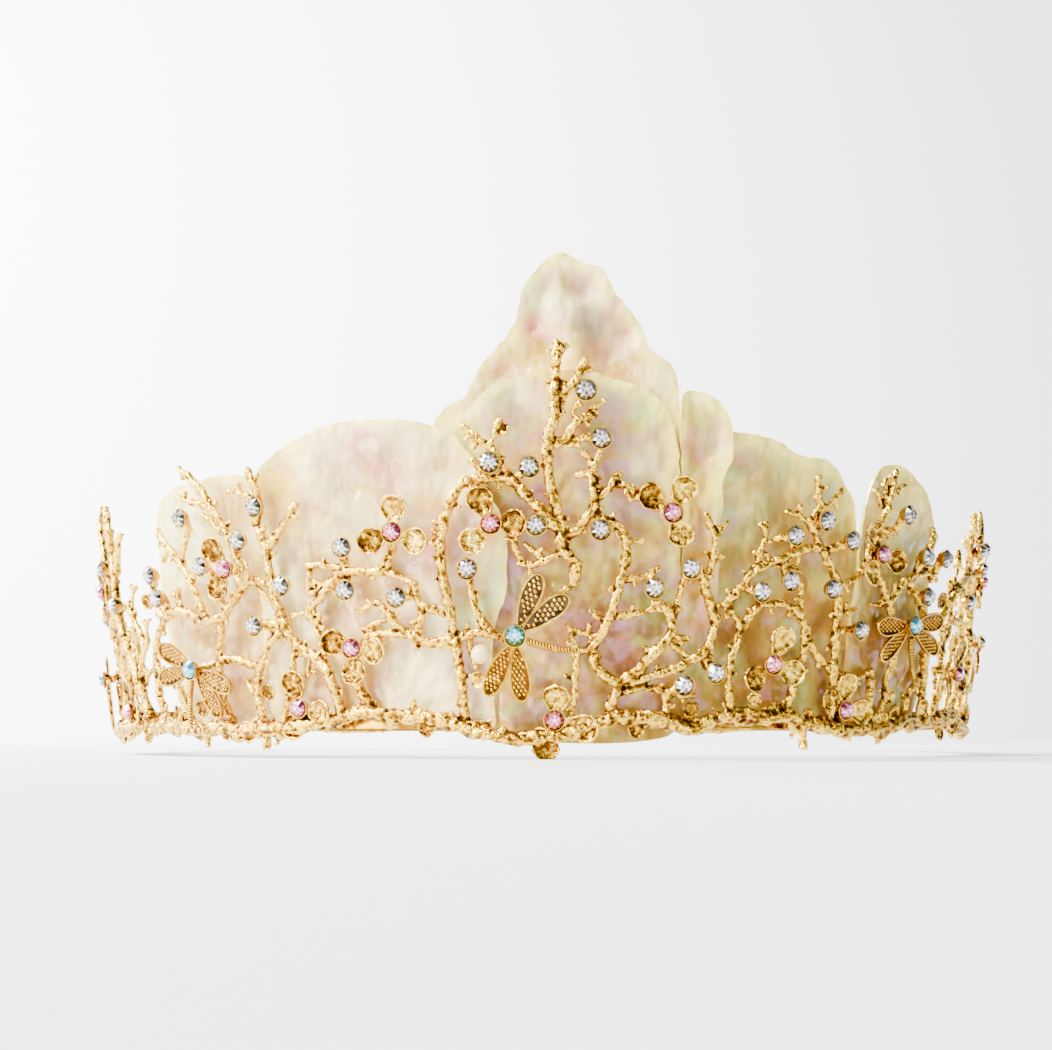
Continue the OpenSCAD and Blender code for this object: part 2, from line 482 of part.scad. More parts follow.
// Width of its two feet, which end level with the lowest front petal
foot_w = 3;
function back_u(k) = back_from + (back_to - back_from) * k / back_bends;
function back_h(k) = 4.3 + 0.7 * sin(140 * k);
module back_branch() {
    color(gold) union() {
        band_branch([for (k = [0:back_bends]) [back_u(k), back_h(k)]], back_in);
        for (k = [3, back_bends - 3])
            hull() {
                translate(on_wall(back_u(k), back_h(k), -back_in)) sphere(r = branch_r, $fn = 6);
                translate(on_wall(back_u(k), -petal_drop, -back_in)) cylinder(h = 0.5, d = foot_w, $fn = 8);
            }
    }
}

module clear_stone(k) stone_at(front_clear[k], stone_d, "lightcyan");
module pink_stone(k) stone_at(blooms[k], pink_d, "hotpink");
module clear_field(i) for (s = clears[i]) stone_at(s, stone_d, "lightcyan");

hoop();
back_branch();
cream_bead();
shell_crest();
shell_center();
shell_center_right();
shell_left();
shell_right();
shell_far_left();
shell_far_right();
for (i = [0:4]) coral(i);
for (i = [0:4]) dragonfly(i);
for (i = [0:4]) blue_stone(i);
for (k = [0:13]) clear_stone(k);
for (k = [0:13]) pink_stone(k);
for (i = [1:4]) clear_field(i);
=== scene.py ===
# %% [markdown]
# This is a crown of gilt coral twigs in front of mother-of-pearl shells. On the real piece, five
# flat castings are bent round a head hoop and soldered to it, and the shells are glued behind
# them. The castings lean outwards like a basket, so every place on the crown can be given on one
# leaning wall: an arc u along the band, a height h over the base line, and how far out in front
# of the wall a thing stands. All tables below use millimetres on that wall.

import math
import random

import bpy
import numpy as np
from mathutils import Matrix, Vector, noise


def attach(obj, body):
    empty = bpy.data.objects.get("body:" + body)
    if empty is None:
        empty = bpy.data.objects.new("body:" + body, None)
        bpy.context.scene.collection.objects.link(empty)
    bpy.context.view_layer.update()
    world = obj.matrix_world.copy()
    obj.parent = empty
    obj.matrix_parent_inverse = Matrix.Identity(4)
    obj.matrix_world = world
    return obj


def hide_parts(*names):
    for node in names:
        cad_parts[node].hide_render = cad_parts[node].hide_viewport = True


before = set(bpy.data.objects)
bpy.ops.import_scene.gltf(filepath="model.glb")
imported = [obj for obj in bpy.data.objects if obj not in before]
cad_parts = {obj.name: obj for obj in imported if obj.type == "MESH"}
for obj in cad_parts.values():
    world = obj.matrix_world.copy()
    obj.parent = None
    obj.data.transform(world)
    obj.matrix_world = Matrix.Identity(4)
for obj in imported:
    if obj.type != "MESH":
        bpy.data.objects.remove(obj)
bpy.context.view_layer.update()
MM = 0.001

# %% The leaning wall
BAND_R = 91.5
LEAN = 0.155
LEAN_FROM = 4
HOOP_LEVEL = 3.1
FLOOR_LEVEL = -5.1
BRANCH_R = 1.2
COLLAR_R = 90.1


def wall_r(h):
    return BAND_R + LEAN * max(0, h - LEAN_FROM)


def on_wall(u, h, out=0.0, r=None):
    """A point in metres: arc, height and distance out of the wall, or at a radius r."""
    r = (wall_r(h) if r is None else r) + out
    a = u / BAND_R
    return Vector((r * math.sin(a), -r * math.cos(a), h - HOOP_LEVEL)) * MM


def at_wall(u, h, out=0.0, turn=0.0):
    """The matrix of a place on the wall: X to the right, Y up, Z out; turn is in degrees."""
    upright = Matrix.Rotation(math.radians(90) + math.atan(LEAN), 4, "X")
    round_crown = Matrix.Rotation(u / BAND_R, 4, "Z")
    own = Matrix.Rotation(math.radians(turn), 4, "Z")
    return Matrix.Translation(on_wall(u, h, out)) @ round_crown @ upright @ own


print("the wall leans", round(math.degrees(math.atan(LEAN)), 1), "degrees")

# %% [markdown]
# A few helpers say what a hand would do in the window: select one object, apply its modifiers,
# place a copy with a mesh of its own, and join copies. Places go into the meshes, so that every
# finished piece stays at the origin as the solids do.


# %% Helpers for selecting, placing and joining
def pick(*objects):
    bpy.ops.object.select_all(action="DESELECT")
    for obj in objects:
        obj.select_set(True)
    bpy.context.view_layer.objects.active = objects[0]


def apply_modifiers(obj):
    pick(obj)
    for modifier in list(obj.modifiers):
        bpy.ops.object.modifier_apply(modifier=modifier.name)


def placed_copy(model, matrix):
    obj = bpy.data.objects.new(model.name, model.data.copy())
    bpy.context.collection.objects.link(obj)
    obj.data.transform(matrix)
    return obj


def join(name, parts):
    pick(*parts)
    bpy.ops.object.join()
    parts[0].name = name
    return parts[0]


def settle(obj):
    """Puts an object's place and scale into its mesh."""
    pick(obj)
    bpy.ops.object.transform_apply(location=True, rotation=True, scale=True)
    return obj


def choose(obj, kind, elements, test):
    bpy.ops.object.mode_set(mode="EDIT")
    bpy.ops.mesh.select_mode(type=kind)
    bpy.ops.mesh.select_all(action="DESELECT")
    bpy.ops.object.mode_set(mode="OBJECT")
    for element in elements(obj):
        element.select = test(element)
    bpy.ops.object.mode_set(mode="EDIT")


def choose_faces(obj, test):
    """Selects the faces that pass a test, and leaves the object in edit mode."""
    choose(obj, "FACE", lambda o: o.data.polygons, test)


def choose_corners(obj, test):
    """Selects the corners that pass a test, and leaves the object in edit mode."""
    choose(obj, "VERT", lambda o: o.data.vertices, test)


def scrap(*objects):
    for obj in objects:
        bpy.data.objects.remove(obj)


def smooth(obj, angle=None):
    pick(obj)
    if angle is None:
        bpy.ops.object.shade_smooth()
    else:
        bpy.ops.object.shade_smooth_by_angle(angle=math.radians(angle))


def finish_piece(obj, slot, *nodes):
    """What would reach below the table stands flat on it; the piece then takes its nodes' place."""
    for v in obj.data.vertices:
        v.co.z = max(v.co.z, FLOOR_LEVEL * MM)
    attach(obj, "root")
    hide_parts(*nodes)
    print(obj.name, len(obj.data.polygons), "faces")


print("helpers ready, the table is at", FLOOR_LEVEL, "mm")

# %% [markdown]
# Each casting stores, at every corner, how far the corner lies below the middle of its
# neighbours. The gold turns to dark amber in the hollows, as painted shade, and lighter on the
# ridges.


# %% Helper for painted shade in hollows
SUNK_FULL = 0.05
SUNK_LIMIT = 0.56
RAISED_LIMIT = -0.5
SMOOTHINGS = 2


def store_hollow_shade(obj, amount=1.0):
    """Stores, for painted shade, hollows as positive and ridges as negative values, smoothed a little."""
    mesh = obj.data
    places = np.empty(len(mesh.vertices) * 3)
    mesh.vertices.foreach_get("co", places)
    places = places.reshape(-1, 3)
    normals = np.empty(len(mesh.vertices) * 3)
    mesh.vertices.foreach_get("normal", normals)
    normals = normals.reshape(-1, 3)
    ends = np.empty(len(mesh.edges) * 2, dtype=int)
    mesh.edges.foreach_get("vertices", ends)
    a, b = ends[::2], ends[1::2]
    count = sum(np.bincount(side, minlength=len(places)) for side in (a, b))
    count = np.maximum(count, 1)

    def around(values):
        total = np.zeros_like(values)
        np.add.at(total, a, values[b])
        np.add.at(total, b, values[a])
        return (total.T / count).T

    depth = ((around(places) - places) * normals).sum(axis=1) / MM
    for _ in range(SMOOTHINGS):
        depth = 0.5 * depth + 0.5 * around(depth)
    # the gold reads this as painted shade in hollows, and makes ridges lighter
    level = np.clip(depth / SUNK_FULL, RAISED_LIMIT, 1.0) * SUNK_LIMIT * amount
    mesh.attributes.new("sunk", "FLOAT", "POINT").data.foreach_set("value", level)


print("a hollow counts in full at", SUNK_FULL, "mm")

# %% [markdown]
# The photograph was taken a little above the table's level, close to the crown and looking
# slightly up, so the band is seen edge on and the tall shell towers over it. The camera stands
# just over the floor with a normal lens, in the middle of the front.

# %% Camera
PHOTO_W = 1052
FOCAL_PX = 1461
SENSOR = 36
CAMERA_DISTANCE = 337
CAMERA_LEVEL = 2.0
PITCH = 8.18
SHIFT_PX = 14

camera_data = bpy.data.cameras.new("camera")
camera_data.sensor_width = SENSOR
camera_data.lens = FOCAL_PX / PHOTO_W * SENSOR
camera_data.clip_start = 0.005
camera = bpy.data.objects.new("camera", camera_data)
camera.location = Vector((0, -CAMERA_DISTANCE, CAMERA_LEVEL - HOOP_LEVEL)) * MM
camera.rotation_euler = (math.radians(90 + PITCH), 0, math.atan(SHIFT_PX / FOCAL_PX))
bpy.context.collection.objects.link(camera)
bpy.context.scene.camera = camera
print("camera lens", round(camera_data.lens, 1), "mm")

# %% [markdown]
# All finishes of the crown are built from the same few nodes: a noise placed in the object's own
# space, a ramp that turns it into colours, and a bump. Painted images would blur close up and
# show seams, while a noise in space runs on over every soldered joint.


# %% Nodes that the finishes share
def shader(name):
    material = bpy.data.materials.new(name)
    material.use_nodes = True
    return material, material.node_tree.nodes, material.node_tree.links


def set_inputs(node, values):
    for socket, value in values.items():
        node.inputs[socket].default_value = value


def stored(nodes, name):
    """The node that reads what a mesh stores under a name."""
    node = nodes.new("ShaderNodeAttribute")
    node.attribute_name = name
    return node


def noise_node(nodes, links, scale, detail=3.0, stretch=(1, 1, 1), shift=0.0, distortion=0.0):
    """A noise in the object's space; a scale of 1000 gives grains of about a millimetre."""
    place = nodes.new("ShaderNodeTexCoord")
    mapping = nodes.new("ShaderNodeMapping")
    set_inputs(mapping, {"Location": (shift, shift, shift), "Scale": stretch})
    grain = nodes.new("ShaderNodeTexNoise")
    set_inputs(grain, {"Scale": scale, "Detail": detail, "Distortion": distortion})
    links.new(place.outputs["Object"], mapping.inputs["Vector"])
    links.new(mapping.outputs["Vector"], grain.inputs["Vector"])
    return grain


def ramp(nodes, links, source, *stops):
    """Turns a value into a colour; a stop is a place from 0 to 1 and its colour."""
    node = nodes.new("ShaderNodeValToRGB")
    elements = node.color_ramp.elements
    while len(elements) < len(stops):
        elements.new(0.5)
    for element, (place, color) in zip(elements, stops):
        element.position = place
        element.color = (*color, 1)
    links.new(source, node.inputs["Fac"])
    return node


def bump(nodes, links, height, distance, below=None):
    """Sinks and lifts the surface by a distance in mm, over the bump below it if there is one."""
    node = nodes.new("ShaderNodeBump")
    set_inputs(node, {"Distance": distance * MM, "Strength": 1.0})
    links.new(height, node.inputs["Height"])
    if below is not None:
        links.new(below.outputs["Normal"], node.inputs["Normal"])
    return node


print("nodes for noise, colour and bump ready")

# %% [markdown]
# The gold is bright, warm and polished, with a bark-like surface whose hollows are painted amber
# as shade. One noise both sinks the surface and paints shade into its hollows, so the two always
# agree. The stored hollows are taken off that noise, so real hollows in the shape get the same
# painted shade.


# %% Finish: gold
def gold(name, hollow, body, shine, grain_size, depth, roughness):
    """A cast gold with grains of a size and depth in mm; hollow, body and shine are colours."""
    material, nodes, links = shader(name)
    surface = nodes["Principled BSDF"]
    grain = noise_node(nodes, links, 1000 / grain_size, 4, distortion=0.4)
    level = nodes.new("ShaderNodeMath")
    level.operation = "SUBTRACT"
    links.new(grain.outputs["Fac"], level.inputs[0])
    links.new(stored(nodes, "sunk").outputs["Fac"], level.inputs[1])
    # the two darkest stops are painted shade in the hollows
    stops = ((0.12, SHADE_BLACK), (0.38, hollow), (0.53, body), (0.72, shine))
    colour = ramp(nodes, links, level.outputs["Value"], *stops)
    links.new(colour.outputs["Color"], surface.inputs["Base Color"])
    set_inputs(surface, {"Metallic": 1.0, "Roughness": roughness})
    fine = noise_node(nodes, links, 3000 / grain_size, 2)
    low = bump(nodes, links, grain.outputs["Fac"], depth)
    high = bump(nodes, links, fine.outputs["Fac"], depth * 0.5, below=low)
    links.new(high.outputs["Normal"], surface.inputs["Normal"])
    return material


# the first colour paints the shade of the deepest hollows
SHADE_BLACK = (0.012, 0.005, 0.001)
BROWN = (0.05, 0.03, 0.015)
AMBER = (0.14, 0.05, 0.001)
WARM = (0.42, 0.21, 0.003)
PALE = (0.96, 0.61, 0.035)
LIGHT = (1.0, 0.78, 0.16)
SATIN = (0.55, 0.3, 0.012)
bark_gold = gold("bark_gold", AMBER, WARM, PALE, 1.8, 0.6, 0.12)
leaf_gold = gold("leaf_gold", AMBER, WARM, PALE, 1.2, 0.3, 0.14)
# a lighter copy of the leaf gold: painted light for petals that catch the light
lit_leaf_gold = gold("lit_leaf_gold", WARM, PALE, LIGHT, 1.2, 0.3, 0.2)
cup_gold = gold("cup_gold", SATIN, WARM, PALE, 3.0, 0.05, 0.15)
strip_gold = gold("strip_gold", SATIN, WARM, PALE, 5.0, 0.04, 0.14)
dark_gold = gold("dark_gold", (0.02, 0.012, 0.008), BROWN, (0.1, 0.06, 0.03), 1.5, 0.05, 0.3)
amber_gold = gold("amber_gold", (0.1, 0.03, 0.003), AMBER, WARM, 1.5, 0.05, 0.25)
print("seven gold finishes")

# %% [markdown]
# A twig of the casting is a bent, knotty tube with cut ends. It could be lathed or extruded ring
# by ring, but twigs that meet must melt into each other. So each twig is drawn as a curve whose
# points carry a thickness, all curves of one casting become one mesh, and a voxel remesh fuses
# them as molten metal does. Two Displace modifiers then push knots and grooves into the skin.

# %% Drawing twigs on the wall
KNOT_STEP = 0.9
THINNEST = 0.86
KNOT_SPREAD = 0.3
CUT_END = 1.12
TWIG_SWAY = 0.14
TWIG_ARCH = 0.05
HIGHEST_ARCH = 0.9
SPUR_EVERY = 4.2
SPUR_REACH = (1.2, 2.0)
SPUR_LEAN = (-0.6, 0.9)
SPUR_R = (0.36, 0.46)
SPUR_RISE = 0.5
SPUR_TIP = 1.1
BURR_SHARE = 0.6
BURR_REACH = 0.7
BURR_OUTWARD = 0.1
BURR_R = 0.6
BURR_TIP_R = 0.55
dice = random.Random(11)


def flowing(points):
    """Points of a smooth curve through the given (u, h) points, about KNOT_STEP apart."""
    ends = [points[0]] + list(points) + [points[-1]]
    path = []
    for k in range(1, len(ends) - 2):
        a, b, c, d = (Vector(ends[k + i]) for i in (-1, 0, 1, 2))
        count = max(1, round((c - b).length / KNOT_STEP))
        for i in range(count):
            t = i / count
            path.append(0.5 * (2 * b + (c - a) * t + (2 * a - 5 * b + 4 * c - d) * t**2
                               + (3 * b - a - 3 * c + d) * t**3))
    path.append(Vector(points[-1]))
    return path


def twig_path(row, by=0.0):
    """A twig as (place, radius) pairs: its back lies on the wall's back and its middle arches."""
    r0, r1, points = row[0], row[1], row[2:]
    path = flowing(points)
    length = sum((b - a).length for a, b in zip(path, path[1:]))
    arch = min(HIGHEST_ARCH, TWIG_ARCH * length)
    rings = []
    for k, p in enumerate(path):
        s = k / (len(path) - 1)
        r = r0 + (r1 - r0) * s
        knot = THINNEST + KNOT_SPREAD * dice.random()
        if k in (0, len(path) - 1):
            knot = CUT_END
        stray = Vector([dice.uniform(-TWIG_SWAY, TWIG_SWAY) for _ in range(2)])
        out = r - BRANCH_R + arch * 4 * s * (1 - s)
        rings.append((on_wall(p.x + stray.x + by, p.y + stray.y, out), r * knot))
    return rings


def spur_paths(row, by=0.0):
    """Short cut spurs that stand off a twig every few millimetres."""
    path = flowing(row[2:])
    spurs = []
    for k in range(3, len(path) - 2, max(3, round(SPUR_EVERY / KNOT_STEP))):
        at = path[k]
        way = (path[k + 1] - path[k - 1]).normalized()
        side = dice.choice((-1, 1))
        reach = dice.uniform(*SPUR_REACH)
        tip = at + Vector((-way.y * side, way.x * side)) * reach + way * dice.uniform(*SPUR_LEAN)
        r = dice.uniform(*SPUR_R)
        out = row[0] - BRANCH_R
        spurs.append([(on_wall(at.x + by, at.y, out), r),
                      (on_wall(tip.x + by, tip.y, out + SPUR_RISE), r * SPUR_TIP)])
    return spurs


def burr_paths(path):
    """Short lumps on the band's branch, turned away from the head."""
    burrs = []
    for place, radius in path[2:-2]:
        outward = Vector((place.x, place.y, 0)).normalized()
        way = Vector([dice.uniform(-1, 1) for _ in range(3)]).normalized()
        if way.dot(outward) < BURR_OUTWARD:
            way += outward * (2 * BURR_OUTWARD - way.dot(outward))
        if dice.random() < BURR_SHARE:
            tip = place + way * (radius + dice.uniform(0, BURR_REACH)) * MM
            burrs.append([(place, BURR_R), (tip, BURR_TIP_R)])
    return burrs


def draw_tubes(name, paths):
    """One mesh of tubes along paths of (place, radius) pairs, with the radius in mm."""
    data = bpy.data.curves.new(name, "CURVE")
    data.dimensions = "3D"
    data.bevel_depth = MM
    data.bevel_resolution = 2
    data.use_fill_caps = True
    for path in paths:
        spline = data.splines.new("POLY")
        spline.points.add(len(path) - 1)
        for point, (place, radius) in zip(spline.points, path):
            point.co = (*place, 1)
            point.radius = radius
    obj = bpy.data.objects.new(name, data)
    bpy.context.collection.objects.link(obj)
    pick(obj)
    bpy.ops.object.convert(target="MESH")
    return bpy.context.object


print("a point every", KNOT_STEP, "mm, a spur every", SPUR_EVERY, "mm")

# %% Fusing and texturing a casting
VOXEL = 0.27
KNOT_DEPTH = 0.7
GROOVE_DEPTH = 0.12


def ripple(name, kind, size):
    texture = bpy.data.textures.new(name, kind)
    texture.noise_scale = size * MM
    return texture


knots = ripple("knots", "CLOUDS", 1.9)
grooves = ripple("grooves", "MUSGRAVE", 1.3)
grooves.musgrave_type = "RIDGED_MULTIFRACTAL"


def push_skin(obj, texture, strength):
    """Moves an object's skin in and out by a texture in space; strength is in mm."""
    displace = obj.modifiers.new(texture.name, "DISPLACE")
    displace.texture = texture
    displace.texture_coords = "GLOBAL"
    displace.strength = strength * MM


def fuse(obj):
    """Melts the tubes of a casting together and gives them their bark."""
    remesh = obj.modifiers.new("fuse", "REMESH")
    remesh.mode = "VOXEL"
    remesh.voxel_size = VOXEL * MM
    push_skin(obj, knots, KNOT_DEPTH)
    push_skin(obj, grooves, GROOVE_DEPTH)
    apply_modifiers(obj)
    store_hollow_shade(obj)
    smooth(obj)
    obj.data.materials.clear()
    obj.data.materials.append(bark_gold)


print("twig tools ready, voxels of", VOXEL, "mm")

# %% [markdown]
# The tables list the twigs of the front, left and right castings: the radius at the start and at
# the end, then the places that the twig passes. They were drawn over the photograph, from the
# top of each peak down to the branch on the band. The two far castings are the side castings
# once more, turned on round the crown.

# %% Twigs of the front casting
FRONT_BRANCH = [
    (-32.4, 5.7), (-28, 5.9), (-22, 5.0), (-16, 4.6), (-12.5, 3.1), (-9.6, 2.2), (-3, 1.6), (3.6, 1.8),
    (8, 3.4), (12, 4.5), (17, 4.9), (20.6, 4.6), (25.4, 2.9), (28.4, 4.2), (31.6, 5),
]
FRONT_TWIGS = [
    [0.8, 0.8, (-31.6, 6.9), (-26.4, 4.2), (-20.6, 6), (-15.4, 3.4), (-10.4, 3.7), (-4.4, 0.9), (1.6, 3),
     (7.4, 2.2), (12.6, 5.7), (18, 3.8), (23.4, 4.8), (27, 2.6), (30.8, 5.6)],
    [0.85, 1.0, (2.7, 67), (2.3, 59.5), (2.2, 54.2), (1.1, 50), (1.4, 44.7), (2.7, 38.9), (3.5, 36)],
    [1.1, 1.0, (3.5, 36.5), (3.4, 33.2), (4.8, 31), (5.7, 30.2), (5.4, 26.8)],
    [0.7, 0.55, (5.5, 27.2), (3.2, 25.4)], [0.6, 0.5, (2.6, 64.2), (4.2, 66.4)],
    [0.6, 0.5, (2.4, 58.2), (0.9, 60.6)], [0.75, 0.7, (2.4, 57.6), (4.5, 59.5), (5.8, 61.3), (6.9, 64.4)],
    [0.5, 0.5, (6, 61.6), (7.8, 62.4)], [0.6, 0.6, (4, 58.9), (3, 55.5), (2.2, 53.4)],
    [0.85, 0.75, (1.1, 50.1), (3.5, 50.4), (5.8, 53.7), (9, 55.1)],
    [0.55, 0.5, (5.8, 53.7), (5, 55.3), (6.4, 56.9)], [0.55, 0.5, (7.2, 54.9), (10, 57.4)],
    [0.7, 0.65, (3.2, 50.4), (7.6, 51.2)], [0.6, 0.65, (6.6, 48.8), (8.5, 46.3)],
    [0.6, 0.7, (9.5, 49.2), (8.5, 46.3)],
    [0.75, 0.9, (8.5, 46.8), (8.2, 42.4), (8.5, 40.8), (7.9, 38.9), (5.6, 35.5), (3.6, 34.6)],
    [0.6, 0.5, (8.3, 45.3), (5.6, 44.6)], [0.8, 0.6, (8.3, 40.6), (10.6, 42.4), (12.7, 45.5)],
    [0.7, 0.6, (11.2, 42.9), (13.5, 43.4), (16, 42)], [0.5, 0.5, (14.6, 43), (14.5, 40.6)],
    [0.55, 0.75, (-12.2, 53.4), (-7.8, 49.4)], [0.6, 0.75, (-6.1, 54.3), (-7.8, 49.4)],
    [0.5, 0.5, (-6.8, 52.2), (-4.7, 53.1)], [0.5, 0.5, (-9.6, 51.2), (-10.6, 49.4)],
    [0.75, 0.8, (-7.8, 49.6), (-5.2, 45.3), (-4.4, 43.7)], [0.7, 0.7, (-10.6, 47.5), (-8.6, 44.5)],
    [0.85, 1.0, (-8.6, 44.6), (-4.4, 43.7), (-0.5, 39.5), (3.2, 35.8)],
    [0.9, 0.95, (-8.6, 44.6), (-12, 43.7), (-14.7, 38.9), (-15.9, 32), (-15, 24.4), (-14.1, 18.4)],
    [0.95, 0.9, (-14.1, 18.6), (-12.9, 11), (-12.6, 4)], [0.5, 0.5, (-15.8, 34), (-17.6, 36.4)],
    [0.65, 0.85, (8.2, 38.8), (11.9, 36.6), (13.4, 35.6), (14, 32.4)],
    [0.85, 0.9, (14, 32.8), (12.9, 27.7), (11.8, 23.2), (9.8, 18.4), (8.2, 16.8)],
    [0.6, 0.6, (0.9, 39.4), (-3.9, 34.6), (-2.8, 30.6)],
    [0.55, 0.75, (-3.8, 30.2), (-0.4, 30.2), (4.2, 32.6)], [0.55, 0.5, (-2.7, 33.8), (0.7, 30.9)],
    [0.6, 0.5, (10.8, 20.9), (7.9, 22.6)], [0.55, 0.65, (4.6, 20.1), (6.2, 15.6)],
    [0.5, 0.6, (4.8, 19.7), (9.2, 18)], [0.7, 0.6, (8.4, 16.4), (6.2, 15.2), (5.6, 10.2), (5.1, 2.8)],
    [0.85, 0.95, (8.4, 16.9), (9.2, 13.2), (12.6, 10.2), (11.5, 6.6), (10.9, 3.8)],
    [1.0, 0.8, (12.4, 10.2), (16.2, 12.9), (20.3, 17.3), (21.7, 20), (20.5, 23.3), (18, 23.9)],
    [0.6, 0.65, (12.6, 8.6), (17, 9.9), (21, 9.2)], [0.75, 0.8, (21.3, 9.6), (21.3, 4.4)],
    [0.6, 0.5, (21.2, 8.9), (26.7, 8.5)], [0.65, 0.45, (12.9, 27.4), (16.2, 28.2), (19.8, 29.9)],
    [0.6, 0.6, (11.9, 21.7), (14.6, 21.8), (19.4, 23.2)], [0.55, 0.5, (14, 34), (17, 34.4)],
    [0.6, 0.8, (-11.4, 28.2), (-10.4, 22.7), (-7.6, 18.6)],
    [0.9, 0.75, (-14.4, 18.3), (-9, 18.8), (-6, 17.9)], [0.6, 0.55, (-11.9, 18.2), (-10.6, 12.8)],
    [0.75, 0.9, (12.8, 10.4), (17, 11.2), (22.7, 13.3), (27.7, 16.3), (29.7, 21.4)],
    [1.0, 0.8, (29.7, 21.2), (28, 24), (26, 30.4)], [0.75, 0.6, (21.6, 20.2), (23.6, 27.4)],
    [0.6, 0.5, (20.9, 17.9), (25.4, 14.7)], [0.5, 0.5, (22.3, 18.7), (25, 18)],
    [0.6, 0.7, (27, 39.2), (28.7, 34.3), (28.2, 29.6)], [0.5, 0.6, (31, 38), (28.7, 35.2)],
    [0.5, 0.5, (28.3, 31.3), (30.7, 32.2)], [0.5, 0.5, (27.2, 15.6), (28.2, 12.9)],
    [0.8, 0.85, (-28.4, 5.2), (-31.2, 10.4), (-30.4, 14.6), (-29.6, 18.4)],
    [0.75, 0.75, (-29.6, 18.4), (-26, 18.9), (-21.8, 18.8)],
    [0.85, 0.95, (-22.4, 19), (-18.2, 17.2), (-14.2, 18.3)], [0.6, 0.7, (-20.4, 18.2), (-19.4, 23.6)],
    [0.6, 0.8, (-30.8, 22.5), (-27, 24), (-23.5, 20), (-21.6, 18.8)],
    [0.5, 0.55, (-30.6, 19.6), (-25, 21.8)],
    [0.7, 0.65, (-15.2, 21.8), (-19.6, 23.6), (-20.6, 27), (-24.6, 29.2)],
    [0.6, 0.75, (-40, 31), (-36, 30.7), (-32.4, 29.8)],
    [0.8, 0.75, (-34.8, 29.2), (-28.5, 29.6), (-24.6, 29.2)], [0.7, 0.6, (-25, 29.2), (-24.2, 33.4)],
    [0.8, 0.65, (-33.8, 29.3), (-37.4, 25.2), (-40, 23.2), (-37.4, 19.9)],
    [0.5, 0.55, (-39.7, 30.5), (-39.4, 26.1), (-34.7, 28.9)], [0.5, 0.5, (-17.6, 33.8), (-15.2, 36.3)],
    [0.5, 0.5, (-26.6, 29.4), (-25.2, 31.6)], [0.6, 0.6, (-31.2, 10.2), (-28.6, 7.2)],
]

# %% Twigs of the left casting
LEFT_BRANCH = [
    (-86.4, 3), (-80, 3.6), (-74, 3.4), (-66, 2.7), (-60, 3.3), (-56, 2.8), (-52, 2.9), (-44, 3.2),
    (-38, 4.4), (-32.8, 5.5),
]
LEFT_TWIGS = [
    [0.8, 0.8, (-34, 6.3), (-38.4, 3.4), (-42.6, 5.6), (-47, 1.8), (-52, 4.6), (-57, 1.4), (-62, 4.8),
     (-67, 1.6), (-72, 4.9), (-77, 2.2), (-83, 5.2)],
    [0.75, 1.0, (-50.2, 39), (-47.9, 35.2), (-46.5, 26.7), (-44.7, 20.8), (-43.2, 17.9)],
    [1.0, 1.0, (-43.3, 18.1), (-37.4, 13.8), (-35.6, 9.6), (-34.5, 5)],
    [0.8, 0.7, (-50, 38.6), (-48.7, 43.3), (-51, 48.5)],
    [0.7, 0.55, (-37, 13.8), (-38.2, 18.5), (-39.1, 20.8)],
    [0.8, 0.6, (-47.6, 34.5), (-45.3, 36.4), (-41.2, 41.8)], [0.6, 0.5, (-43.9, 22.6), (-40.3, 22.9)],
    [0.6, 0.9, (-68.4, 50.8), (-62.4, 46.6), (-57.6, 39.9), (-54.1, 33.1), (-53.9, 28.1)],
    [0.5, 0.65, (-69.9, 45.6), (-61.3, 42.9), (-59.6, 42.6)],
    [0.5, 0.65, (-55.8, 45.2), (-50.5, 43.5), (-48.8, 43.2)], [0.5, 0.65, (-62.6, 41.6), (-57, 37.2)],
    [0.9, 0.75, (-46.6, 26.6), (-50, 28.9), (-53.9, 28.1)],
    [0.85, 0.75, (-53.9, 28.1), (-58.7, 23.3), (-65.6, 22.3)], [0.5, 0.5, (-51.5, 29.3), (-47, 24)],
    [0.7, 0.65, (-58.6, 23.4), (-61.6, 31)], [0.7, 0.7, (-59.8, 23), (-61.4, 15.4)],
    [0.75, 0.8, (-61.4, 15.6), (-60.8, 9), (-58.6, 3.2)],
    [0.8, 0.7, (-61.6, 15.4), (-56.4, 15.2), (-51.2, 13.8)],
    [0.7, 0.8, (-51.4, 14.2), (-52, 8.6), (-50, 3)], [0.7, 0.7, (-44.6, 20.4), (-48.6, 18), (-51.6, 13.6)],
    [0.5, 0.5, (-55, 12), (-53.2, 8.6), (-51.6, 8)], [0.6, 0.7, (-43.3, 18), (-44.6, 10.4), (-47.4, 3.2)],
    [0.5, 0.5, (-40.4, 15.8), (-41.6, 11.6)], [0.75, 0.8, (-65.1, 22.5), (-71.2, 24.8), (-77.8, 23.6)],
    [0.7, 0.8, (-64.4, 22.7), (-66, 28), (-70, 33.6)], [0.8, 0.55, (-69.8, 33.2), (-77.6, 40.6)],
    [0.65, 0.55, (-70, 33.2), (-66.8, 39.8)], [0.75, 0.6, (-77.4, 23.2), (-80.4, 27), (-81.6, 31.4)],
    [0.75, 0.75, (-77.6, 23.8), (-81, 19.6), (-83.2, 14.6)], [0.8, 0.8, (-83.2, 15), (-80.6, 3.6)],
    [0.7, 0.7, (-83, 15.2), (-78, 12.2), (-73.6, 10.8), (-70.4, 3)],
    [0.5, 0.5, (-73.6, 36.8), (-76.6, 34.4)], [0.5, 0.5, (-71.4, 24.6), (-72.6, 29.4)],
]

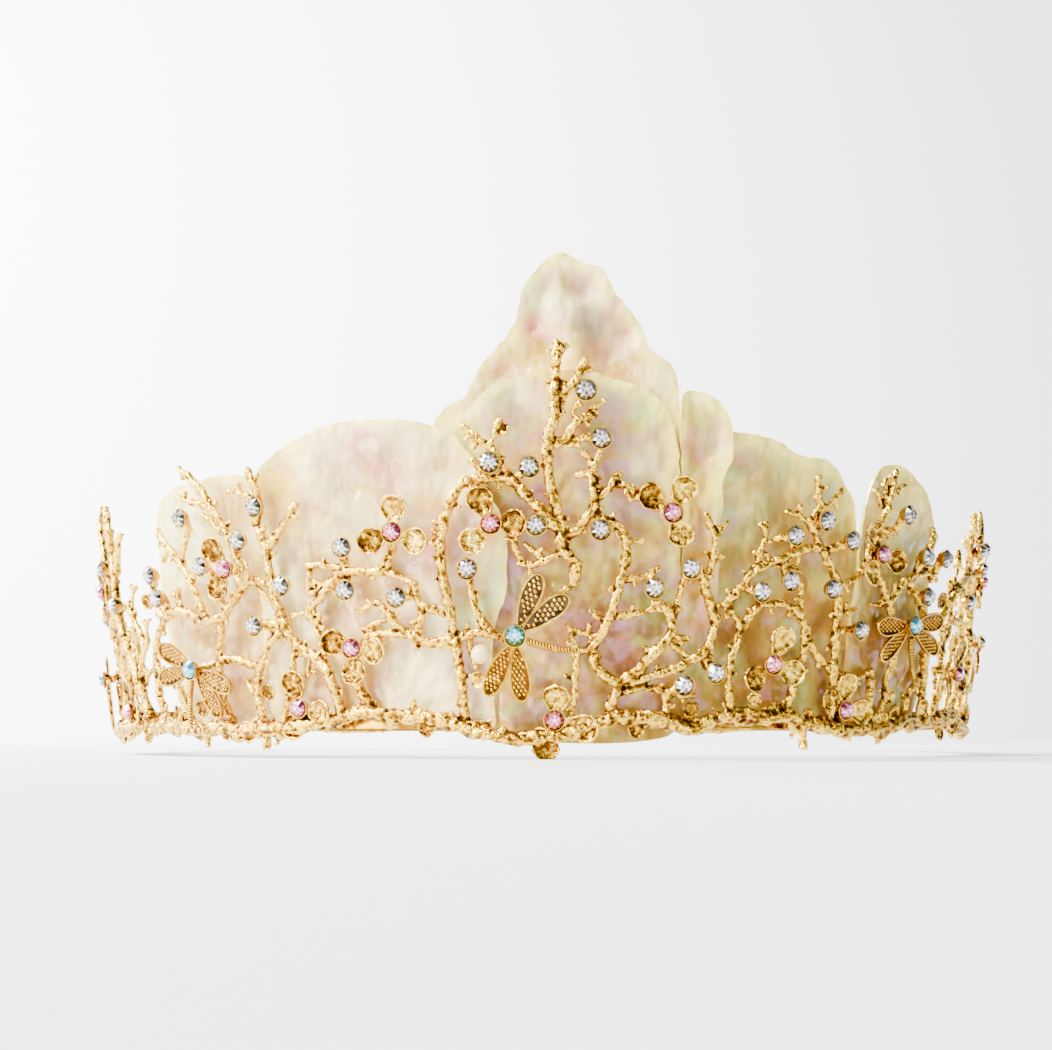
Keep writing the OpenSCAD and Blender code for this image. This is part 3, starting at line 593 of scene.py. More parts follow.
# %% Twigs of the right casting
RIGHT_BRANCH = [
    (32, 5.1), (36, 5.6), (40, 4.9), (44, 5.5), (48, 4), (54, 3.3), (62, 3), (70, 3.4), (76, 5), (82, 4.4),
    (88, 4.6),
]
RIGHT_TWIGS = [
    [0.8, 0.8, (32.6, 6.8), (37, 4.2), (42, 6.8), (47, 2.8), (52, 4.8), (57, 1.8), (62, 4.6), (68, 2),
     (73, 5.2), (79, 3), (86, 5.8)],
    [0.75, 0.85, (30.6, 23.4), (32.7, 25.7), (36, 29.7), (42, 32.7), (49, 34.8)],
    [0.65, 0.55, (36, 29.5), (37.7, 35), (38.1, 38.2)], [0.55, 0.5, (37.6, 35), (41.2, 35.4)],
    [0.6, 0.5, (39.3, 31.2), (46, 30)], [0.5, 0.5, (43.6, 30.5), (44.9, 32.6)],
    [0.8, 0.7, (33, 5.2), (32.2, 13), (34.4, 20.2)], [0.7, 0.7, (34.4, 19.8), (31.4, 24.2)],
    [0.75, 0.75, (34.2, 19.8), (37.6, 24.4)], [0.75, 0.85, (37.2, 24.3), (43.7, 24), (47.4, 20.3)],
    [0.55, 0.5, (45.6, 28.6), (46, 22.3)], [0.8, 0.75, (47.2, 20.8), (46.2, 13.4), (43.2, 5.2)],
    [0.8, 0.8, (47.2, 20.6), (49, 16.6), (54, 13)], [0.75, 0.75, (49.3, 34.7), (46.2, 39.2)],
    [0.7, 0.7, (46.4, 38.9), (49.2, 41.8)], [0.75, 0.65, (49.2, 41.4), (48, 43.3), (47.6, 46.9)],
    [0.6, 0.5, (49.4, 41.2), (53.6, 45.2)], [0.6, 0.5, (46.6, 38.8), (41.6, 40.4)],
    [0.5, 0.5, (44.8, 39.3), (44.4, 41.9)], [0.8, 0.85, (49.3, 34.8), (53.2, 29.2)],
    [0.9, 0.9, (53.2, 29.6), (53.6, 24.3), (53.4, 17.6), (54, 3.2)],
    [0.75, 0.7, (53.2, 29.2), (55.6, 28.6), (60.4, 31.6)],
    [0.7, 0.75, (60, 31.6), (64.2, 29.5), (67.4, 25.8)], [0.8, 0.8, (67.2, 25.8), (72, 30.5)],
    [0.6, 0.5, (67.6, 25.7), (62.6, 25.3)], [0.55, 0.5, (53.6, 22.5), (59.1, 24.4)],
    [0.8, 0.6, (60.2, 31.4), (60.8, 36), (63, 40.4), (66.6, 50)], [0.6, 0.5, (63.4, 42.6), (61.4, 46)],
    [0.6, 0.5, (64.4, 45.4), (69.4, 47.6)], [0.6, 0.5, (64, 43.6), (63.8, 48.2)],
    [0.65, 0.6, (62.8, 39), (68.4, 38.6)], [0.7, 0.65, (67.4, 26), (70.6, 19), (69.2, 12)],
    [0.65, 0.7, (69.2, 12.4), (67.8, 3.4)], [0.75, 0.75, (53.3, 13.6), (58.6, 12), (64, 13.4)],
    [0.75, 0.8, (63.9, 13.8), (64.5, 3)], [0.8, 0.8, (72, 30.4), (78.8, 32.4)],
    [0.8, 0.6, (78.6, 32), (79.4, 36), (80.8, 41)], [0.5, 0.5, (79.6, 37), (82.6, 39.4)],
    [0.65, 0.55, (78.5, 32.4), (84.6, 31.4)], [0.75, 0.8, (72, 30.7), (77, 27), (80.8, 22)],
    [0.8, 0.85, (80.6, 22.4), (81.4, 13), (82.4, 4.6)], [0.6, 0.7, (81.6, 13.4), (76.2, 8.8), (77.2, 4.4)],
    [0.5, 0.5, (80.9, 17.2), (84.6, 19.4)],
]
print("twigs:", len(FRONT_TWIGS), len(LEFT_TWIGS), len(RIGHT_TWIGS))

# %% [markdown]
# Stones sit in small gold cups on stalks, and three crinkled petals stand round each pink stone.
# A row gives the stone's place and the place where its stalk leaves the twigs; a flower adds the
# way and the reach of each petal, a dragonfly the way of its tail.

# %% Places of stones, flowers and dragonflies
FAR_LEFT = -54
FAR_RIGHT = 56.5
FRONT_CLEAR = [
    (6.9, 58.5, 5.4, 60.3), (9.3, 50.7, 7.4, 51), (-7.7, 46.7, -6.4, 46.9), (-1.6, 45.9, -4.2, 44.1),
    (-0.6, 36.4, 2.4, 36.9), (9.4, 35.7, 11.8, 36.3), (-11.4, 29.3, -11.4, 27.9), (18.2, 26.3, 18.2, 29),
    (24.2, 29.7, 23.4, 27), (23.7, 10.3, 21.7, 9.2), (-32.1, 33.5, -33, 30.2), (-31.9, 26.3, -33.2, 29.1),
    (-23.1, 24.9, -21, 25.2), (29.2, 12.4, 27.2, 16.2),
]
FRONT_FLOWERS = [
    (-23.4, 35.7, -24.4, 32.8, 86, 4.1, 197, 4.2, 338, 4.1),
    (-7.6, 36.7, -10.6, 43.9, 114, 4.4, 2, 3.7, 222, 4.1),
    (20.8, 38.8, 15.4, 41.6, 65, 4.5, 145, 4.6, 296, 3.8), (2.3, 4.5, 2.3, 2, 85, 3.6, 253, 4.6, 345, 5.2),
    (-31.3, 16.6, -30.2, 14.6, 164, 3.7, 352, 3.8, 270, 4),
]
LEFT_CLEAR = [
    (-44, 27.6, -45.8, 27.2), (-48.4, 41.5, -49, 40.6), (-52.4, 35.9, -54.6, 35), (-66.4, 41.2, -67, 39),
    (-62, 32.1, -61.4, 30.6), (-50.3, 21, -44.4, 21.4), (-76, 27.4, -75.6, 23.6), (-78, 31.8, -80.8, 30.2),
]
LEFT_FLOWERS = [
    (-42.2, 6.7, -41.6, 3.8, 103, 4.4, 243, 3.5, 347, 4.1),
    (-56.1, 31.2, -54.2, 31, 130, 4.8, 230, 4, 350, 3.7),
]
RIGHT_CLEAR = [
    (36.8, 26.2, 34, 27.1), (42.2, 28.2, 41.4, 32.3), (42.6, 36, 39.8, 35.3), (48.7, 38.9, 47.6, 38.2),
    (51.1, 27.3, 53, 27.4), (54.7, 35.9, 50.2, 33.8), (58.3, 20.5, 54, 20.4), (68.4, 41.8, 67.2, 38.6),
    (75.6, 34.8, 75.5, 31), (83, 35.2, 82.4, 31.6), (77.4, 27.6, 76, 28.4),
]
RIGHT_FLOWERS = [
    (39.8, 14, 46.4, 14.6, 68, 4.8, 217, 4, 343, 4.4), (62.4, 34.2, 61.2, 33, 123, 4.4, 349, 4.5, 240, 4),
    (56.3, 6.4, 55, 3.8, 87, 4.3, 357, 4.3, 150, 4),
]
FRONT_FLY = (-3.9, 18.3, -6.8, 18, -24)
LEFT_FLY = (-65.7, 13.8, -61.8, 15.2, -112)
RIGHT_FLY = (71.4, 21.9, 67.5, 20.4, -84)
BEAD = (-9.4, 15.2, -11.2, 15.4)


def moved(row, by):
    """A stone's, flower's or dragonfly's row, turned on round the crown."""
    return (row[0] + by, row[1], row[2] + by, *row[3:])


# Twigs that fill the ends of the far castings, and single leaves: arc, height, way, size
FILLING = {
    "far_left": [
        [0.7, 0.6, (-88.5, 3.5), (-90.5, 12), (-87.5, 20)], [0.6, 0.5, (-90, 11.5), (-94, 17), (-93, 24)],
        [0.6, 0.5, (-87.6, 19.6), (-92, 26), (-90.4, 31)], [0.5, 0.5, (-93, 23.6), (-96.4, 28.4)],
        [0.6, 0.5, (-90.5, 12), (-86.5, 14.5)], [0.6, 0.5, (-92, 4), (-95.5, 10), (-94, 17)],
        [0.5, 0.45, (-87.6, 20), (-85.4, 24.4)],
    ],
    "far_right": [
        [0.7, 0.6, (89.5, 4.5), (91, 12), (89, 19)], [0.6, 0.5, (91, 12), (95, 16), (97, 22)],
        [0.6, 0.5, (89, 19), (92.5, 26), (91, 32)], [0.5, 0.5, (92.5, 26), (96.4, 30)],
        [0.6, 0.5, (94, 4), (96.5, 10), (95, 16)], [0.5, 0.45, (90.9, 12), (87.6, 15)],
    ],
}
LEAVES = {
    "front": [
        (-10.4, 9.6, 82, 0.6), (14.6, 3.4, 340, 0.6), (-17.6, 3.6, 200, 0.6), (24.6, 5, 60, 0.6),
    ],
    "left": [
        (-52, 3.4, 200, 0.8), (-61.6, 4, 330, 0.8), (-70, 3.6, 150, 0.8), (-76, 5, 20, 0.8),
        (-66.6, 5, 80, 0.7), (-80.4, 26, 140, 0.7), (-48.6, 8, 110, 0.6),
    ],
    "right": [
        (36.6, 6.4, 76, 0.6), (50, 4.6, 160, 0.7), (64.6, 4, 20, 0.8), (72.4, 4.6, 140, 0.8),
        (80, 5.4, 50, 0.8), (68.2, 7.6, 60, 0.6), (84.4, 26, 60, 0.7),
    ],
    "far_left": [
        (-87, 4, 240, 0.8), (-90.6, 19, 110, 0.8), (-95, 6, 190, 0.8), (-93, 12, 20, 0.7),
    ],
    "far_right": [
        (90, 4.6, 300, 0.8), (93, 18, 60, 0.8), (97, 6, 330, 0.8), (90, 12, 170, 0.7),
    ],
}

# A casting's branch, twigs, turn round the crown, clear stones, flowers and dragonfly
CLEARS, FLOWERS, FLY = 3, 4, 5
CASTINGS = {
    "front": (FRONT_BRANCH, FRONT_TWIGS, 0, FRONT_CLEAR, FRONT_FLOWERS, FRONT_FLY),
    "left": (LEFT_BRANCH, LEFT_TWIGS, 0, LEFT_CLEAR, LEFT_FLOWERS, LEFT_FLY),
    "right": (RIGHT_BRANCH, RIGHT_TWIGS, 0, RIGHT_CLEAR, RIGHT_FLOWERS, RIGHT_FLY),
    "far_left": (LEFT_BRANCH, LEFT_TWIGS, FAR_LEFT, [moved(s, FAR_LEFT) for s in LEFT_CLEAR[::2]],
                 [moved(f, FAR_LEFT) for f in LEFT_FLOWERS], moved(LEFT_FLY, FAR_LEFT)),
    "far_right": (RIGHT_BRANCH, RIGHT_TWIGS, FAR_RIGHT, [moved(s, FAR_RIGHT) for s in RIGHT_CLEAR[1::2]],
                  [moved(f, FAR_RIGHT) for f in RIGHT_FLOWERS], moved(RIGHT_FLY, FAR_RIGHT)),
}
print("castings:", ", ".join(CASTINGS))

# %% [markdown]
# A stone's cup is turned from a short cylinder: the top is inset to leave a thin wall and pushed
# down to make the seat, and the foot is drawn in. A small bevel lets the rim catch the light.

# %% Model: cup
SEAT_D = 3.8
SEAT_OUT = 1.6
SEAT_DEPTH = 0.6
CUP_H = 1.5
CUP_WALL = 0.26
CUP_FOOT = 0.32
CUP_EDGE = 0.08


def face_up(obj, level):
    """Selects, in edit mode, the faces that look up at a level; level is in metres."""
    choose_faces(obj, lambda f: f.normal.z > 0.9 and abs(f.center.z - level) < 0.02 * MM)


def push(height):
    """Draws the chosen faces out along Z, or sinks them where the height in mm is negative."""
    bpy.ops.mesh.extrude_region_move(TRANSFORM_OT_translate={"value": (0, 0, height * MM)})


def ease_edges(obj, width):
    """Bevels the sharp edges by a width in mm."""
    edge = obj.modifiers.new("edge", "BEVEL")
    edge.width = width * MM
    edge.segments = 2
    edge.limit_method = "ANGLE"
    apply_modifiers(obj)


def cup_model(diameter):
    bpy.ops.mesh.primitive_cone_add(vertices=24, radius1=diameter * CUP_FOOT * MM,
                                    radius2=diameter / 2 * MM, depth=CUP_H * MM)
    cup = bpy.context.object
    face_up(cup, CUP_H / 2 * MM)
    bpy.ops.mesh.inset(thickness=CUP_WALL * MM)
    push(-SEAT_DEPTH)
    bpy.ops.object.mode_set(mode="OBJECT")
    ease_edges(cup, CUP_EDGE)
    smooth(cup, 40)
    cup.data.materials.append(cup_gold)
    return cup


clear_cup = cup_model(SEAT_D)
print("cup", len(clear_cup.data.polygons), "faces")

# %% [markdown]
# A petal starts as a disc. Two insets make a narrow rim and a hollow inside it, the hollow is
# pushed down, and the disc is drawn out to a drop towards its root. Solidify gives it thickness
# and a subdivision rounds it. The crinkles come after the petal is placed, from a noise in
# space, so no two petals are alike.

# %% Model: petal
PETAL_W = 4.9
PETAL_T = 0.45
PETAL_RIM = 0.3
PETAL_STEPS = ((0.22, -0.4), (0.5, -0.12), (0.5, 0.05))  # insets: how far in, how far up
PETAL_ROOT = 0.3
PETAL_TAPER = 0.35
PETAL_CURL = 0.03
PETAL_TILT = 10
PETAL_RISE = 0.3
PETAL_CRUMPLE = 0.6
PETAL_HOLLOWS = 0.5
# the share of petals that get the lighter copy of the leaf gold, as painted light
LIT_PETALS = 0.5
crinkle = ripple("crinkle", "CLOUDS", 0.9)
petal_dice = random.Random(3)


def add_wall(obj, thickness):
    """Gives a sheet a thickness behind its face."""
    wall = obj.modifiers.new("wall", "SOLIDIFY")
    wall.thickness = thickness
    wall.offset = -1


def petal_model(reach):
    """A petal along Y from its seat's middle, with its round end's middle at the reach."""
    bpy.ops.mesh.primitive_circle_add(vertices=20, radius=PETAL_W / 2 * MM, fill_type="NGON")
    petal = bpy.context.object
    bpy.ops.object.mode_set(mode="EDIT")
    bpy.ops.mesh.select_all(action="SELECT")
    bpy.ops.mesh.inset(thickness=PETAL_RIM * MM)
    for width, drop in PETAL_STEPS:
        bpy.ops.mesh.inset(thickness=width * MM)
        bpy.ops.transform.translate(value=(0, 0, drop * MM))
    bpy.ops.mesh.poke()
    bpy.ops.object.mode_set(mode="OBJECT")
    root = SEAT_D * PETAL_ROOT
    for v in petal.data.vertices:
        x, y = v.co.x / MM, v.co.y / MM
        back = max(0.0, -y) / (PETAL_W / 2)
        v.co.x = x * (1 - PETAL_TAPER * back) * MM
        v.co.y = (reach + y - back * max(0.0, reach - PETAL_W / 2 - root) * back) * MM
        v.co.z += PETAL_CURL * y * y * MM
    add_wall(petal, PETAL_T * MM)
    round_off = petal.modifiers.new("round", "SUBSURF")
    round_off.levels = 1
    round_off.render_levels = 1
    apply_modifiers(petal)
    smooth(petal)
    petal.data.materials.append(lit_leaf_gold if petal_dice.random() < LIT_PETALS else leaf_gold)
    return petal


def petal_at(u, h, angle, reach, size=1.0):
    """A petal round a place on the wall; angle is its way in degrees."""
    petal = petal_model(reach)
    lie = at_wall(u, h, PETAL_T + PETAL_RISE, angle - 90)
    tilt = Matrix.Rotation(math.radians(PETAL_TILT), 4, "X")
    petal.data.transform(lie @ tilt @ Matrix.Scale(size, 4))
    push_skin(petal, crinkle, PETAL_CRUMPLE)
    apply_modifiers(petal)
    store_hollow_shade(petal, PETAL_HOLLOWS)
    return petal


def flower_parts(row):
    u, h = row[:2]
    return [petal_at(u, h, angle, reach) for angle, reach in zip(row[4::2], row[5::2])]


print("petals", PETAL_W, "mm wide, tilted by", PETAL_TILT, "degrees")

# %% [markdown]
# Each casting now comes together: the branch along the band, twigs, spurs and stalks are drawn
# and fused, then cups and petals are joined to them as soldered metal is.

# %% Assemble the castings
STALK_R = 0.8
STALK_TOP = 1.2
STALK_MIDDLE_OUT = 0.1
CUP_MIDDLE = SEAT_OUT - CUP_H / 2
CUP_RAISED = 0.3
CUP_STALK_SHORT = 0.2
FLY_OUT = 1.9
FLY_STALK_SHORT = 0.4
BEAD_STALK_OUT = 0.3


def stalk(row, top):
    """A tube from the twig at a stone's root up to the underside of its cup."""
    u, h, root_u, root_h = row[:4]
    middle = on_wall((u + root_u) / 2, (h + root_h) / 2, STALK_MIDDLE_OUT)
    return [(on_wall(root_u, root_h, -BRANCH_R / 2), STALK_R), (middle, STALK_R),
            (on_wall(u, h, top), STALK_R * STALK_TOP)]


def casting(side):
    """Draws, fuses and finishes one casting; the band's branch comes first, then each twig."""
    branch, twigs, by, clears, flowers, fly = CASTINGS[side]
    band = twig_path([BRANCH_R, BRANCH_R, *branch], by)
    paths = [band] + burr_paths(band)
    for row in twigs:
        paths.append(twig_path(row, by))
        paths += spur_paths(row, by)
    for row in FILLING.get(side, []):
        paths.append(twig_path(row))
        paths += spur_paths(row)
    for row in clears + flowers:
        paths.append(stalk(row, CUP_MIDDLE - CUP_STALK_SHORT))
    paths.append(stalk(fly, FLY_OUT - FLY_STALK_SHORT))
    if side == "front":
        paths.append(stalk(BEAD, BEAD_STALK_OUT))
    metal = draw_tubes("coral_twigs_" + side, paths)
    fuse(metal)
    parts = [metal]
    for row in clears + flowers:
        parts.append(placed_copy(clear_cup, at_wall(row[0], row[1], CUP_MIDDLE + CUP_RAISED)))
    for row in flowers:
        parts += flower_parts(row)
    for u, h, angle, size in LEAVES[side]:
        parts.append(petal_at(u, h, angle, PETAL_W / 2, size))
    whole = join("coral_twigs_" + side, parts)
    finish_piece(whole, "gold", "coral_" + side)


for side in CASTINGS:
    casting(side)
scrap(clear_cup)

# %% [markdown]
# A plain branch of the same bark closes the crown at the back, with two feet on which it stands.
# The photograph doesn't show it, so it isn't drawn from a table but follows a gentle wave, and
# is fused like the castings.

# %% Branch at the back
BACK_FROM = 144.9
BACK_TO = 2 * math.pi * BAND_R - 140.8
BACK_IN = 0.6
BACK_BENDS = 14
BACK_STEPS = 12
BACK_H = 4.3
BACK_WAVE = 0.7
BACK_TURN = 140
BACK_THINNEST = 0.92
BACK_SPREAD = 0.16
FEET = (3, 11)
FOOT_R = (1.1, 1.35)
FOOT_H = -1.7


def back_u(k):
    return BACK_FROM + (BACK_TO - BACK_FROM) * k / BACK_BENDS


def back_h(k):
    return BACK_H + BACK_WAVE * math.sin(math.radians(BACK_TURN * k))


def back_branch():
    line = []
    for i in range(BACK_BENDS * BACK_STEPS + 1):
        k = i / BACK_STEPS
        knot = BRANCH_R * (BACK_THINNEST + BACK_SPREAD * dice.random())
        line.append((on_wall(back_u(k), back_h(k), -BACK_IN), knot))
    paths = [line]
    for k in FEET:
        ends = zip((back_h(k), FOOT_H), FOOT_R)
        paths.append([(on_wall(back_u(k), h, -BACK_IN), r) for h, r in ends])
    branch = draw_tubes("bark_branch_back", paths)
    fuse(branch)
    finish_piece(branch, "gold", "back_branch")


back_branch()

# %% [markdown]
# The stones are cut glass over foil: a flat table, a ring of facets and a girdle. The cone
# primitive gives the crown; turning its top by half a corner and cutting the sides along their
# diagonals turns them into a zigzag of facets. Foil-backed glass reflects light and dark wedges,
# so each facet carries its own grey in an attribute, which the finish turns into the tint: these
# are painted reflections.

# %% Finish: cut glass
STONE_D = 3.3
PINK_D = 3.1
STONE_H = 0.8
GIRDLE = 0.3
TABLE_PART = 0.6
TABLE_INSET = 0.62
STONE_SIDES = 10
GIRDLE_GREY = 0.3
CROWN_GREYS = (0.12, 0.5, 0.2, 0.78)
TABLE_GREYS = (0.95, 0.5, 0.62, 0.18)
MIDDLE_GREYS = (1.0, 0.8)
MIDDLE_PART = 0.4
GREY_SPREAD = 0.08


def stone_finish(name, light, dark):
    material, nodes, links = shader(name)
    surface = nodes["Principled BSDF"]
    grey = stored(nodes, "facet").outputs["Fac"]
    # the stored grey becomes painted reflections of light and dark
    colour = ramp(nodes, links, grey, (0.1, dark), (0.6, light), (0.95, (1, 1, 1)))
    links.new(colour.outputs["Color"], surface.inputs["Base Color"])
    set_inputs(surface, {"Metallic": 0.9, "Roughness": 0.12, "Coat Weight": 0.25, "Coat Roughness": 0.02})
    return material


clear_glass = stone_finish("clear_glass", (0.78, 0.75, 0.72), (0.05, 0.04, 0.035))
pink_glass = stone_finish("pink_glass", (0.95, 0.3, 0.5), (0.3, 0.02, 0.1))
blue_glass = stone_finish("blue_glass", (0.2, 0.7, 0.82), (0.01, 0.16, 0.25))
print("clear, pink and blue glass")


# %% Model: cut stone
def paint_facet_reflections(stone, table):
    """Stores each facet's grey: wedges of light and dark round the stone, with a little chance.

    The facets are taken by their place, because the tools may number them in another order."""
    # the greys are painted reflections in the foil-backed glass
    greys = random.Random(5)
    attribute = stone.data.attributes.new("facet", "FLOAT", "FACE")
    turn = 2 * math.pi / STONE_SIDES
    for face in sorted(stone.data.polygons, key=lambda f: [round(c / MM, 2) for c in f.center]):
        x, y, _ = face.center
        wedge = round(math.atan2(y, x) / turn * 2 + 0.25) % 4
        if face.normal.z < 0.1:
            value = GIRDLE_GREY
        elif face.normal.z < 0.95:
            value = CROWN_GREYS[wedge]
        elif math.hypot(x, y) / MM / table > MIDDLE_PART:
            value = TABLE_GREYS[wedge]
        else:
            value = MIDDLE_GREYS[wedge % 2]
        attribute.data[face.index].value = value + greys.uniform(-GREY_SPREAD, GREY_SPREAD)


def stone_model(name, diameter, finish):
    table = diameter * TABLE_PART / 2
    top = (GIRDLE + STONE_H) * MM
    bpy.ops.mesh.primitive_cone_add(vertices=STONE_SIDES, radius1=diameter / 2 * MM, radius2=table * MM,
                                    depth=STONE_H * MM, location=(0, 0, (GIRDLE + STONE_H / 2) * MM))
    stone = settle(bpy.context.object)
    stone.name = name
    choose_faces(stone, lambda f: f.normal.z < -0.9)
    push(-GIRDLE)
    face_up(stone, top)
    bpy.ops.transform.rotate(value=math.pi / STONE_SIDES, orient_axis="Z", center_override=(0, 0, 0))
    bpy.ops.object.mode_set(mode="OBJECT")
    choose_faces(stone, lambda f: 0.1 < f.normal.z < 0.9)
    bpy.ops.mesh.quads_convert_to_tris(quad_method="SHORTEST_DIAGONAL")
    face_up(stone, top)
    bpy.ops.mesh.inset(thickness=table * TABLE_INSET * MM)
    face_up(stone, top)
    bpy.ops.object.mode_set(mode="OBJECT")
    centre = [f.index for f in stone.data.polygons if f.normal.z > 0.9 and len(f.vertices) > 4]
    choose_faces(stone, lambda f: f.index in centre)
    bpy.ops.mesh.poke()
    bpy.ops.object.mode_set(mode="OBJECT")
    paint_facet_reflections(stone, table)
    stone.data.materials.append(finish)
    return stone


clear_cut = stone_model("clear_cut", STONE_D, clear_glass)
pink_cut = stone_model("pink_cut", PINK_D, pink_glass)
blue_cut = stone_model("blue_cut", STONE_D, blue_glass)
print("a stone has", len(clear_cut.data.polygons), "facets")

# %% Set the stones
STONE_OUT = SEAT_OUT + 0.1
STONE_TURN = 37
PINK_STONES = 14


def set_stones(name, model, slot, node, rows, out=STONE_OUT):
    """Copies a stone to each row's place, each turned a little further than the one before."""
    stones = [placed_copy(model, at_wall(row[0], row[1], out, STONE_TURN * k))
              for k, row in enumerate(rows)]
    piece = stones[0] if len(stones) == 1 else join(name, stones)
    piece.name = name
    finish_piece(piece, slot, node)


for k, row in enumerate(FRONT_CLEAR, 1):
    set_stones("clear_cut_%d" % k, clear_cut, "clear_stone", "clear_stone_%d" % k, [row])
blooms = [flower for side in CASTINGS for flower in CASTINGS[side][FLOWERS]]
for k, row in enumerate(blooms[:PINK_STONES], 1):
    set_stones("pink_cut_%d" % k, pink_cut, "pink_stone", "pink_stone_%d" % k, [row])
for side in list(CASTINGS)[1:]:
    loose = CASTINGS[side][CLEARS]
    set_stones("clear_cuts_" + side, clear_cut, "clear_stone", "clear_stones_" + side, loose)

# %% [markdown]
# A dragonfly is a small casting of its own: a cup for its blue stone, four wings with a raised
# rim and a field of tiny round cells, and a bent tail of beads. On the front one, the ground of
# the upper wings is oxidised dark. The wing is modelled once: a disc is shaped to the wing's
# outline, extruded, inset and sunk, and small domes are set in rows on its ground.

# %% Model: wing
WING_L = 9.8
WING_W = 4.2
WING_T = 0.6
WING_CORNERS = 32
WING_FULLNESS = 0.55
WING_EDGE = 0.1
RIM_W = 0.34
GROUND_SUNK = 0.26
COARSE_CELLS = (0.86, 0.38)
FINE_CELLS = (0.74, 0.33)
CELL_FLAT = 0.6
CELL_MARGIN = 0.75
CELL_OUT = WING_T - 0.24
FIRST_ROW = 1.5
ROW_STEP = 0.86


def wing_half_width(s):
    """Half the width of a wing at share s of its length, as in its outline."""
    a = math.acos(max(-1.0, min(1.0, 1 - 2 * s)))
    return WING_W / 2 * math.sin(a) * (WING_FULLNESS + WING_FULLNESS * s)


def wing_model(ground, cells):
    """A wing with a ground finish; cells are their distance and radius in mm."""
    pitch, cell_r = cells
    bpy.ops.mesh.primitive_circle_add(vertices=WING_CORNERS, radius=MM, fill_type="NGON")
    wing = bpy.context.object
    for v in wing.data.vertices:
        a = math.atan2(v.co.x, -v.co.y)
        s = (1 - math.cos(a)) / 2
        side = 1 if math.sin(a) > 0 else -1
        v.co = Vector((side * wing_half_width(s), WING_L * s, 0)) * MM
    bpy.ops.object.mode_set(mode="EDIT")
    bpy.ops.mesh.select_all(action="SELECT")
    push(WING_T)
    bpy.ops.mesh.inset(thickness=RIM_W * MM)
    push(-GROUND_SUNK)
    bpy.ops.object.mode_set(mode="OBJECT")
    ease_edges(wing, WING_EDGE)
    smooth(wing, 50)
    wing.data.materials.append(cup_gold)
    wing.data.materials.append(ground)
    level = (WING_T - GROUND_SUNK) * MM
    for face in wing.data.polygons:
        if face.normal.z > 0.9 and abs(face.center.z - level) < 0.05 * MM:
            face.material_index = 1
    bpy.ops.mesh.primitive_uv_sphere_add(segments=7, ring_count=4, radius=cell_r * MM)
    dome = bpy.context.object
    dome.data.transform(Matrix.Diagonal((1, 1, CELL_FLAT, 1)))
    smooth(dome)
    dome.data.materials.append(cup_gold)
    parts = [wing]
    row = 0
    y = FIRST_ROW
    while y < WING_L - RIM_W - cell_r:
        reach = wing_half_width(y / WING_L) - RIM_W - cell_r * CELL_MARGIN
        x = -math.floor(max(0, reach) / pitch) * pitch + (pitch / 2 if row % 2 else 0)
        while x <= reach:
            parts.append(placed_copy(dome, Matrix.Translation(Vector((x, y, CELL_OUT)) * MM)))
            x += pitch
        y += pitch * ROW_STEP
        row += 1
    scrap(dome)
    return join("wing", parts)


dark_wing = wing_model(dark_gold, COARSE_CELLS)
pale_wing = wing_model(amber_gold, FINE_CELLS)
print("wings with", len(dark_wing.data.polygons), "and", len(pale_wing.data.polygons), "faces")

# %% Model: dragonfly
THORAX_D = 3.9
THORAX_UP = 0.72
WING_SPREADS = (60, 92)
WING_ROOT = (0, 1.3, 0.1)
TAIL_BEADS = 9
TAIL_PITCH = 1.05
TAIL_OVERLAP = 0.6
TAIL_UP = 0.6
TAIL_R = 0.76
TAIL_TAPER = 0.014
TAIL_CURL = 0.6
TAIL_BEAD_SHAPE = (0.55, 1, 0.85, 1)
TAIL_BEAD_TURN = 28
BLUE_UP = 1.2


def tail_parts():
    beads = []
    for k in range(1, TAIL_BEADS * 2):
        along = THORAX_D / 2 - TAIL_OVERLAP + (k / 2 + 0.5) * TAIL_PITCH
        r = TAIL_R - TAIL_TAPER * k
        bpy.ops.mesh.primitive_uv_sphere_add(segments=10, ring_count=8, radius=r * MM)
        bead = bpy.context.object
        bead.data.transform(Matrix.Diagonal(TAIL_BEAD_SHAPE))
        curl = Matrix.Rotation(math.radians(TAIL_CURL * k), 4, "Z")
        lie = curl @ Matrix.Translation(Vector((along, 0, TAIL_UP)) * MM)
        bead.data.transform(lie @ Matrix.Rotation(math.radians(TAIL_BEAD_TURN), 4, "Z"))
        smooth(bead)
        bead.data.materials.append(cup_gold)
        beads.append(bead)
    return beads


def dragonfly(side, upper, lower):
    fly = CASTINGS[side][FLY]
    place = at_wall(fly[0], fly[1], FLY_OUT, fly[4])
    thorax = cup_model(THORAX_D)
    thorax.data.transform(Matrix.Translation(Vector((0, 0, THORAX_UP)) * MM))
    parts = [thorax]
    for bank in (-1, 1):
        for spread in WING_SPREADS:
            model = upper if bank > 0 else lower
            turn = Matrix.Rotation(math.radians(bank * spread - 90), 4, "Z")
            parts.append(placed_copy(model, turn @ Matrix.Translation(Vector(WING_ROOT) * MM)))
    parts += tail_parts()
    insect = join("gilt_dragonfly_" + side, parts)
    insect.data.transform(place)
    finish_piece(insect, "gold", "dragonfly_" + side)
    set_stones("blue_cut_" + side, blue_cut, "blue_stone", "blue_stone_" + side, [fly],
               FLY_OUT + BLUE_UP)


for side in CASTINGS:
    dragonfly(side, dark_wing if side == "front" else pale_wing, pale_wing)
scrap(dark_wing, pale_wing, clear_cut, pink_cut, blue_cut)
